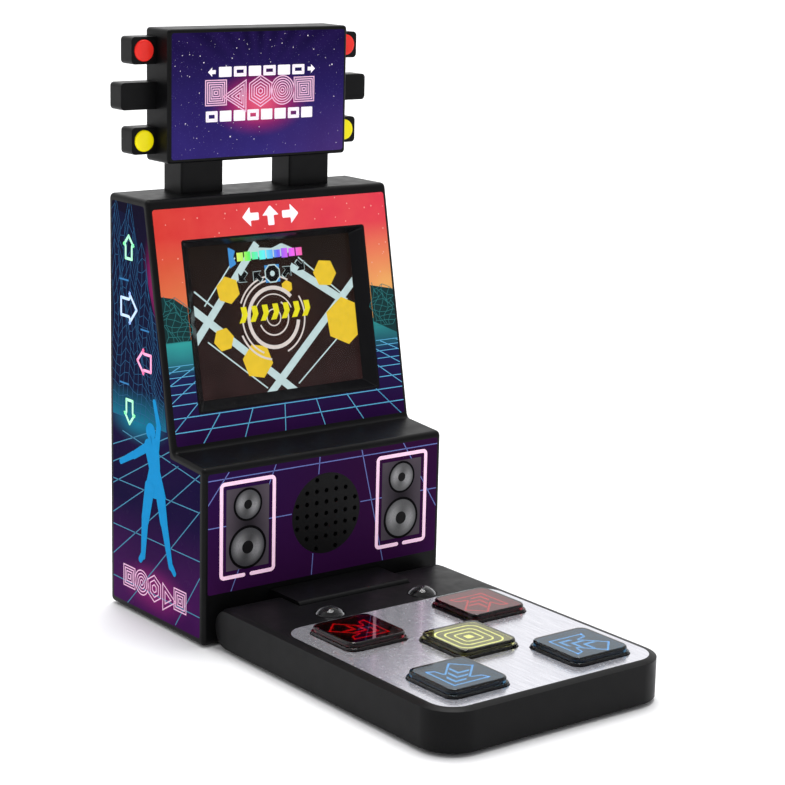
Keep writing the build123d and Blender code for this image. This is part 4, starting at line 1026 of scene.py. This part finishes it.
class RHYTHM_OT_display(bpy.types.Operator):
    """Fit the bezel, the clear lens and the lit picture of the display"""

    bl_idname = "rhythm.display"
    bl_label = "Display"

    def execute(self, context):
        smooth_copy("screen_bezel", finish("gloss_black"))
        coat("screen_lens", finish("clear_lens"))
        coat("lcd_module", finish("picture"))
        target = (0.4, 47.4)

        def rings(bm):
            centre = (-0.6, 34.6)
            ink_disc(bm, centre, 2.6, 0.35, LAYER * 2, 32)
            for radius, width, start, sweep in (
                (5.4, 0.45, 200, 215), (7.0, 0.35, 20, 150), (9.3, 1.15, 40, 310), (11.2, 0.5, 95, 150),
                (12.4, 0.5, 60, 95), (11.2, 0.5, -70, 100), (12.6, 0.6, 200, 60),
            ):
                ink_arc(bm, centre, radius, width, start, sweep, LAYER * 2, 32)

        def beams(bm):
            for n, (a, b, width) in enumerate((
                ((-30, 41.1), (5.0, 11.9), 2.3), ((-30, 28.0), (-4.0, 56.6), 2.3),
                ((-5.0, 12.1), (30, 43.3), 2.3), ((7.0, 49.0), (26.0, 36.6), 2.3),
                ((-24.1, 29.7), (-5.2, 14.3), 0.4), ((5.9, 14.4), (24.5, 28.6), 0.4),
                ((10.1, 51.4), (25.7, 38.4), 0.4), ((-24.0, 40.0), (-12.0, 53.0), 0.4),
                ((-27.0, 44.5), (-20.0, 38.5), 0.5), ((-3.8, 11.9), (3.8, 11.9), 0.6),
            )):
                ink_bar(bm, a, b, width, n * LAYER / 12)

        def hexagons(bm):
            for centre, radius, turn in (
                ((-15.5, 43.9), 4.1, 10), ((19.1, 46.0), 4.2, 24), ((5.1, 43.1), 2.0, 0),
                ((-18.6, 29.9), 3.5, 40), ((-7.7, 22.5), 5.3, 18), ((24.8, 31.2), 7.2, 5),
            ):
                ink_disc(bm, centre, radius, 0, LAYER, 6, radians(turn))

        def call(bm):
            for n in range(7):
                x = -12.8 + n * 3.7
                points = [
                    (x, 34.0), (x + 1.3, 36.2), (x + 0.9, 38.6),
                    (x + 2.8, 38.6), (x + 3.2, 36.2), (x + 1.9, 34.0),
                ]
                ink_shape(bm, points, LAYER * 4, 0.12)

        def arrows(bm):
            for middle, heading, reach in MOVE_ARROWS:
                ink_shape(bm, move_arrow(middle, heading, reach), LAYER * 3.6, 0.1)
            ink_disc(bm, target, 2.5, 1.5, LAYER * 3.6, 8, radians(22.5))

        def edges(bm):
            for middle, heading, reach in MOVE_ARROWS:
                ink_shape(bm, move_arrow(middle, heading, reach + 0.35), LAYER * 3, 0.1)
            ink_disc(bm, target, 2.9, 0, LAYER * 3, 8, radians(22.5))
            cloud = [(-6.0, 55.6), (-3.4, 52.0), (5.4, 52.2), (8.6, 54.2), (4.6, 56.0), (1.0, 54.8)]
            ink_shape(bm, cloud, LAYER * 3, 0.5)

        def splash(bm):
            burst = [(-14.2, 50.0), (-11.8, 51.2), (-12.6, 53.2), (-11.8, 55.0), (-14.2, 56.2)]
            ink_shape(bm, burst, LAYER * 3, 0.3)
            ink_disc(bm, target, 3.6, 0, LAYER * 2, 4, radians(45))

        def score(bm):
            for n in range(9):
                x = -11.4 + n * 2.6
                ink_bar(bm, (x, 53.1), (x + 2.2, 53.1), 2.5 + 0.3 * sin(n * 2.3), LAYER * 4)

        for name, draw, material in (
            ("rings", rings, "picture_ring"), ("beams", beams, "picture_pale"),
            ("hexagons", hexagons, "picture_gold"), ("call", call, "picture_yellow"),
            ("arrow_edges", edges, "picture_pale"), ("arrows", arrows, "picture_black"),
            ("splash", splash, "picture_sky"), ("score", score, "picture_rainbow"),
        ):
            bm = bmesh.new()
            draw(bm)
            clip_to(bm, box_of(-29.0, 12.6, 29.0, 57.8))
            add_piece(f"display_{name}", bm, finish(material), "cabinet", DISPLAY_ART)
        return {"FINISHED"}


class RHYTHM_OT_speaker_print(bpy.types.Operator):
    """Print the neon speaker stacks either side of the real speaker"""

    bl_idname = "rhythm.speaker_print"
    bl_label = "Speaker panel print"

    def execute(self, context):
        coat("speaker_panel_decal", finish("speaker_print"))
        tube = sizes().neon_line / MM
        half, low, high, gap = 9.45, 18.9, 47.3, 1.3

        def lines(bm):
            width = sizes().grid_line / MM
            for a, b in (
                ((-33.2, 50.7), (-40.9, 40.9)), ((-17.7, 50.3), (-32.9, 15.0)), ((-2.5, 50.5), (-5.0, 15.0)),
                ((12.4, 50.4), (21.0, 15.0)), ((27.6, 50.4), (40.8, 28.7)), ((-40.8, 48.3), (40.8, 48.3)),
                ((-40.8, 34.6), (40.8, 34.6)),
            ):
                ink_bar(bm, a, b, width)
            clip_to(bm, box_of(-40.5, 15.3, 40.5, 50.1))
            cut_speaker_hole(bm)

        def frames(bm):
            for x in (-DRIVER_X, DRIVER_X):
                left, right = x - half + tube / 2, x + half - tube / 2
                bottom, top = low + tube / 2, high - tube / 2
                bend = tube * 0.9
                for start, end in (
                    ((left, bottom + bend), (left, top - bend)),
                    ((right, bottom + bend), (right, top - bend)),
                    ((left + bend, top), (right - bend, top)),
                    ((left + bend, bottom), (x - gap, bottom)),
                    ((x + gap, bottom), (right - bend, bottom)),
                ):
                    ink_bar(bm, start, end, tube, LAYER * 3)
                for cx, cy, start in (
                    (right - bend, top - bend, 0), (left + bend, top - bend, 90),
                    (left + bend, bottom + bend, 180), (right - bend, bottom + bend, 270),
                ):
                    ink_arc(bm, (cx, cy), bend + tube / 2, tube, start, 90, LAYER * 3, 8)
                for side in (-gap, gap):
                    ink_disc(bm, (x + side, bottom), tube / 2, 0, LAYER * 3.2, 20)

        def plates(bm):
            for x in (-DRIVER_X, DRIVER_X):
                ink_shape(bm, box_of(x - 7.2, 21.3, x + 7.2, 45.0), LAYER)

        def surrounds(bm):
            for x in (-DRIVER_X, DRIVER_X):
                for z, surround, _cone, _hub in DRIVERS:
                    ink_disc(bm, (x, z), surround, 0, LAYER * 2)

        def hubs(bm):
            for x in (-DRIVER_X, DRIVER_X):
                for z, _surround, _cone, hub in DRIVERS:
                    ink_disc(bm, (x, z), hub, 0, LAYER * 4, 24)

        for name, draw, material in (
            ("floor_lines", lines, "violet_ink"), ("stack_plates", plates, "speaker_plate"),
            ("stack_surrounds", surrounds, "black_ink"), ("stack_frames", frames, "neon_ink"),
            ("stack_hubs", hubs, "grille_black"),
        ):
            plate(f"speaker_{name}", draw, material, SPEAKER_ART)
        self.cones()
        return {"FINISHED"}

    def cones(self):
        """Printed cones, each disc with its own map for the fans of light."""
        bm = bmesh.new()
        bm.loops.layers.uv.new("UVMap")
        for x in (-DRIVER_X, DRIVER_X):
            for z, _surround, cone, _hub in DRIVERS:
                shape = bmesh.new()
                shape.loops.layers.uv.new("UVMap")
                bmesh.ops.create_circle(
                    shape, cap_ends=True, segments=48, radius=cone, calc_uvs=True,
                    matrix=Matrix.Translation((x, z, 0)),
                )
                press(shape, bm, LAYER * 3)
        add_piece("speaker_stack_cones", bm, finish("driver_cone"), "cabinet", SPEAKER_ART)


def cut_speaker_hole(bm):
    """Drop printed lines over the round grille, with the cut ends closed."""
    middle = Vector((0, GRILLE_HEIGHT, 0))
    for n in range(16):
        out = Vector((cos(n * pi / 16), sin(n * pi / 16), 0))
        for side in (1, -1):
            cut_along(bm, middle + out * GRILLE_CLEAR * side, out)
    drop_faces(bm, [f for f in bm.faces if (f.calc_center_median() - middle).xy.length < GRILLE_CLEAR - 0.05])


class RHYTHM_OT_sign(bpy.types.Operator):
    """Finish the sign, its posts and screws, and print the night sky and title marks"""

    bl_idname = "rhythm.sign"
    bl_label = "Sign"

    def execute(self, context):
        for node in ("marquee_front", "marquee_back", "marquee_post_left", "marquee_post_right"):
            smooth_copy(node, finish("satin_black"))
        coat("marquee_decal", finish("sign_print"))
        coat("marquee_screws", finish("steel"))
        middle = (SIGN_LOW.z + SIGN_HIGH.z) / 2 / MM
        art = SIGN_ART @ Matrix.Translation((0, middle, 0))
        sky = random.Random(7)

        def stars(bm):
            for n in range(sizes().stars):
                spot = (sky.uniform(-29, 29), sky.uniform(-17.2, 17.2))
                size = 0.05 + 0.12 * sky.random() ** 4 + (0.14 if n % 41 == 0 else 0)
                ink_disc(bm, spot, size, 0, 0, 6, sky.uniform(0, 1))

        def marks(bm):
            for end, heading in ((-17.9, 180), (19.4, 0)):
                ink_shape(bm, block_arrow((end, 6.6), heading, 2.6, 2.6, 1.1, 1.4), LAYER)
            for n in range(6):
                x = -14.2 + n * 5.1
                ink_shape(bm, box_of(x, 5.1, x + 4.3, 8.0), LAYER, 0.25, 0.95 if n % 2 else 0)
            for n in range(8):
                x = -18.6 + n * 4.75
                ink_shape(bm, box_of(x, -7.6, x + 4.0, -4.5), LAYER, 0.25, 0 if n % 3 else 1.0)

        def stripes(bm):
            striped_shapes(bm, -19.0, 38.4, 0.7, 9.4, 0.32, LAYER)

        plate("sign_stars", stars, "white_ink", art)
        plate("sign_marks", marks, "white_ink", art)
        plate("sign_stripes", stripes, "stripe_ink", art)
        return {"FINISHED"}


class RHYTHM_OT_lamps(bpy.types.Operator):
    """Fit the red and yellow lamp lenses beside the sign"""

    bl_idname = "rhythm.lamps"
    bl_label = "Lamps"

    def execute(self, context):
        smooth_copy("red_lamp_lenses", finish("red_lamp"))
        smooth_copy("yellow_lamp_lenses", finish("yellow_lamp"))
        return {"FINISHED"}


class RHYTHM_OT_pad(bpy.types.Operator):
    """Finish the dance pad, its silver sheet, feet and inner parts"""

    bl_idname = "rhythm.pad"
    bl_label = "Dance pad"

    def execute(self, context):
        smooth_copy("pad_shell", finish("satin_black"))
        smooth_copy("pad_bottom_cover", finish("matt_black"))
        smooth_copy("pad_sheet", finish("silver_sheet"))
        smooth_copy("pad_feet", finish("rubber"))
        for node, name in (
            ("pad_board", "circuit_board"), ("pad_membrane", "membrane"), ("pad_screws", "steel"),
        ):
            coat(node, finish(name))
        return {"FINISHED"}


class RHYTHM_OT_buttons(bpy.types.Operator):
    """Fit the five clear caps with their printed cards"""

    bl_idname = "rhythm.buttons"
    bl_label = "Dance buttons"

    def execute(self, context):
        for name, (tint, across, away) in BUTTONS.items():
            body = f"dance_button_{name}"
            smooth_copy(f"button_cap_{name}", finish(f"{tint}_cap"))
            low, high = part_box(f"button_insert_{name}")
            middle = (low + high) / 2
            top = high.z - CARD_GAP
            card = bmesh.new()
            place = Matrix.Translation((middle.x, middle.y, (low.z + top) / 2))
            size = Matrix.Diagonal((high.x - low.x, high.y - low.y, top - low.z, 1))
            bmesh.ops.create_cube(card, size=1, matrix=place @ size)
            upright = [e for e in card.edges if abs(e.verts[0].co.z - e.verts[1].co.z) > 0.001]
            bmesh.ops.bevel(
                card, geom=upright, affect="EDGES", offset=0.0018, segments=5, profile=0.5, material=-1
            )
            piece = add_piece(f"button_card_{name}", card, finish("insert_card"), body)
            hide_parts(f"button_insert_{name}")
            art = art_plane((middle.x, middle.y, top), X, Y, Z)
            line = sizes().cap_line / MM
            half = (high.x - low.x) / 2 / MM

            def mark(bm):
                if tint == "yellow":
                    for n, share in enumerate((0.88, 0.63, 0.38, 0.14)):
                        reach = half * share
                        square = box_of(-reach, -reach, reach, reach)
                        ink_shape(bm, square, 0, reach * 0.42, line if n < 3 else 0)
                else:
                    corner_mark(bm, (across, away), half * 0.98, line)

            plate(f"button_mark_{name}", mark, f"{tint}_mark", art, body)
        return {"FINISHED"}


class RHYTHM_OT_menu_domes(bpy.types.Operator):
    """Fit the two clear domes behind the silver sheet"""

    bl_idname = "rhythm.menu_domes"
    bl_label = "Menu domes"

    def execute(self, context):
        for side in ("left", "right"):
            smooth_copy(f"menu_button_{side}", finish("clear_dome"))
        return {"FINISHED"}


class RHYTHM_OT_studio(bpy.types.Operator):
    """Stage the machine on a plain pale floor in soft studio light, with its camera"""

    bl_idname = "rhythm.studio"
    bl_label = "Studio"

    def execute(self, context):
        scene = context.scene
        studio = scene.machine_studio
        scene.view_settings.view_transform = "Standard"
        self.floor(studio)
        self.surround(scene, studio)
        self.key_light(studio)
        self.softbox("top_light", (0.25, 0.75, 1.1), (0, 0, 0.06), 1.1, studio.top)
        self.camera(scene)
        return {"FINISHED"}

    def floor(self, studio):
        bm = bmesh.new()
        bmesh.ops.create_circle(bm, cap_ends=True, segments=96, radius=9.0)
        for f in bm.faces:
            if f.normal.z < 0:
                f.normal_flip()
        mesh = bpy.data.meshes.new("studio_floor")
        bm.to_mesh(mesh)
        bm.free()
        floor = bpy.data.objects.new("studio_floor", mesh)
        bpy.context.scene.collection.objects.link(floor)
        material, tree, shader = new_finish("studio_floor")
        set_sockets(
            shader, Base_Color=mottled(tree, studio.floor_tone, 0.985, 3.0, 2.0), Roughness=0.7,
            Specular_IOR_Level=0.1,
        )
        mesh.materials.append(material)

    def surround(self, scene, studio):
        """Pale surround, brighter behind the machine than in front of it."""
        world = bpy.data.worlds.new("studio_surround")
        scene.world = world
        world.use_nodes = True
        tree = world.node_tree
        direction = tree.nodes.new("ShaderNodeTexCoord").outputs["Generated"]
        behind = vector_maths(tree, "DOT_PRODUCT", direction, (0.35, 0.94, 0.0))
        tone = mixed(tree, ranged(tree, behind, -0.6, 0.6), (0.55, 0.55, 0.56), (1.30, 1.30, 1.30))
        set_sockets(tree.nodes["Background"], Color=tone, Strength=studio.surround)

    def key_light(self, studio):
        """A broad light from high behind, so that shadows stay close to the machine."""
        light = bpy.data.lights.new("key_light", "SUN")
        light.energy = studio.key
        light.angle = radians(30)
        self.place_light(light, (0, 0, 0), (-0.14, -0.12, -1.0))

    def softbox(self, name, place, target, size, power):
        light = bpy.data.lights.new(name, "AREA")
        light.shape = "DISK"
        light.size = size
        light.energy = power
        self.place_light(light, place, Vector(target) - Vector(place))

    def place_light(self, light, place, aim):
        lamp = bpy.data.objects.new(light.name, light)
        bpy.context.scene.collection.objects.link(lamp)
        turn = Vector(aim).to_track_quat("-Z", "Y").to_matrix().to_4x4()
        lamp.matrix_world = Matrix.Translation(place) @ turn

    def camera(self, scene):
        target = Vector((0.00350, 0.00115, 0.07328))
        distance, azimuth, elevation, roll = 0.61147, radians(37.89), radians(12.868), radians(1.356)
        back = Vector((-sin(azimuth) * cos(elevation), -cos(azimuth) * cos(elevation), sin(elevation)))
        right = Vector((cos(azimuth), -sin(azimuth), 0))
        up = back.cross(right)
        data = bpy.data.cameras.new("camera")
        data.sensor_width = 36
        data.lens = sizes().lens_length
        data.clip_start = 0.01
        data.clip_end = 50
        camera = bpy.data.objects.new("camera", data)
        scene.collection.objects.link(camera)
        turn = Matrix((right, up, back)).transposed() @ Matrix.Rotation(roll, 3, "Z")
        camera.matrix_world = Matrix.Translation(target + back * distance) @ turn.to_4x4()
        scene.camera = camera


OPERATORS = (
    RHYTHM_OT_cabinet, RHYTHM_OT_side_prints, RHYTHM_OT_screen_print, RHYTHM_OT_display,
    RHYTHM_OT_speaker_print, RHYTHM_OT_sign, RHYTHM_OT_lamps, RHYTHM_OT_pad, RHYTHM_OT_buttons,
    RHYTHM_OT_menu_domes, RHYTHM_OT_studio,
)
GROUPS = (
    ("machine_colours", MachineColours), ("machine_sizes", MachineSizes), ("machine_studio", StudioSettings),
)


class RHYTHM_PT_panel(bpy.types.Panel):
    """Steps and settings of the rhythm machine"""

    bl_idname = "RHYTHM_PT_panel"
    bl_label = "Rhythm machine"
    bl_space_type = "VIEW_3D"
    bl_region_type = "UI"
    bl_category = "Rhythm machine"

    def draw(self, context):
        for operator in OPERATORS:
            self.layout.operator(operator.bl_idname)
        for name, group in GROUPS:
            settings = getattr(context.scene, name)
            box = self.layout.box()
            for field in group.__annotations__:
                box.prop(settings, field)


def register():
    for cls in OPERATORS + tuple(group for _, group in GROUPS) + (RHYTHM_PT_panel,):
        bpy.utils.register_class(cls)
    for name, group in GROUPS:
        setattr(bpy.types.Scene, name, PointerProperty(type=group))


def unregister():
    for name, _ in GROUPS:
        delattr(bpy.types.Scene, name)
    for cls in OPERATORS + tuple(group for _, group in GROUPS) + (RHYTHM_PT_panel,):
        bpy.utils.unregister_class(cls)


def main():
    register()
    for operator in OPERATORS:
        family, step = operator.bl_idname.split(".")
        result = getattr(getattr(bpy.ops, family), step)()
        if result != {"FINISHED"}:
            raise RuntimeError(f"{operator.bl_label} did not finish")


if __name__ == "__main__":
    main()
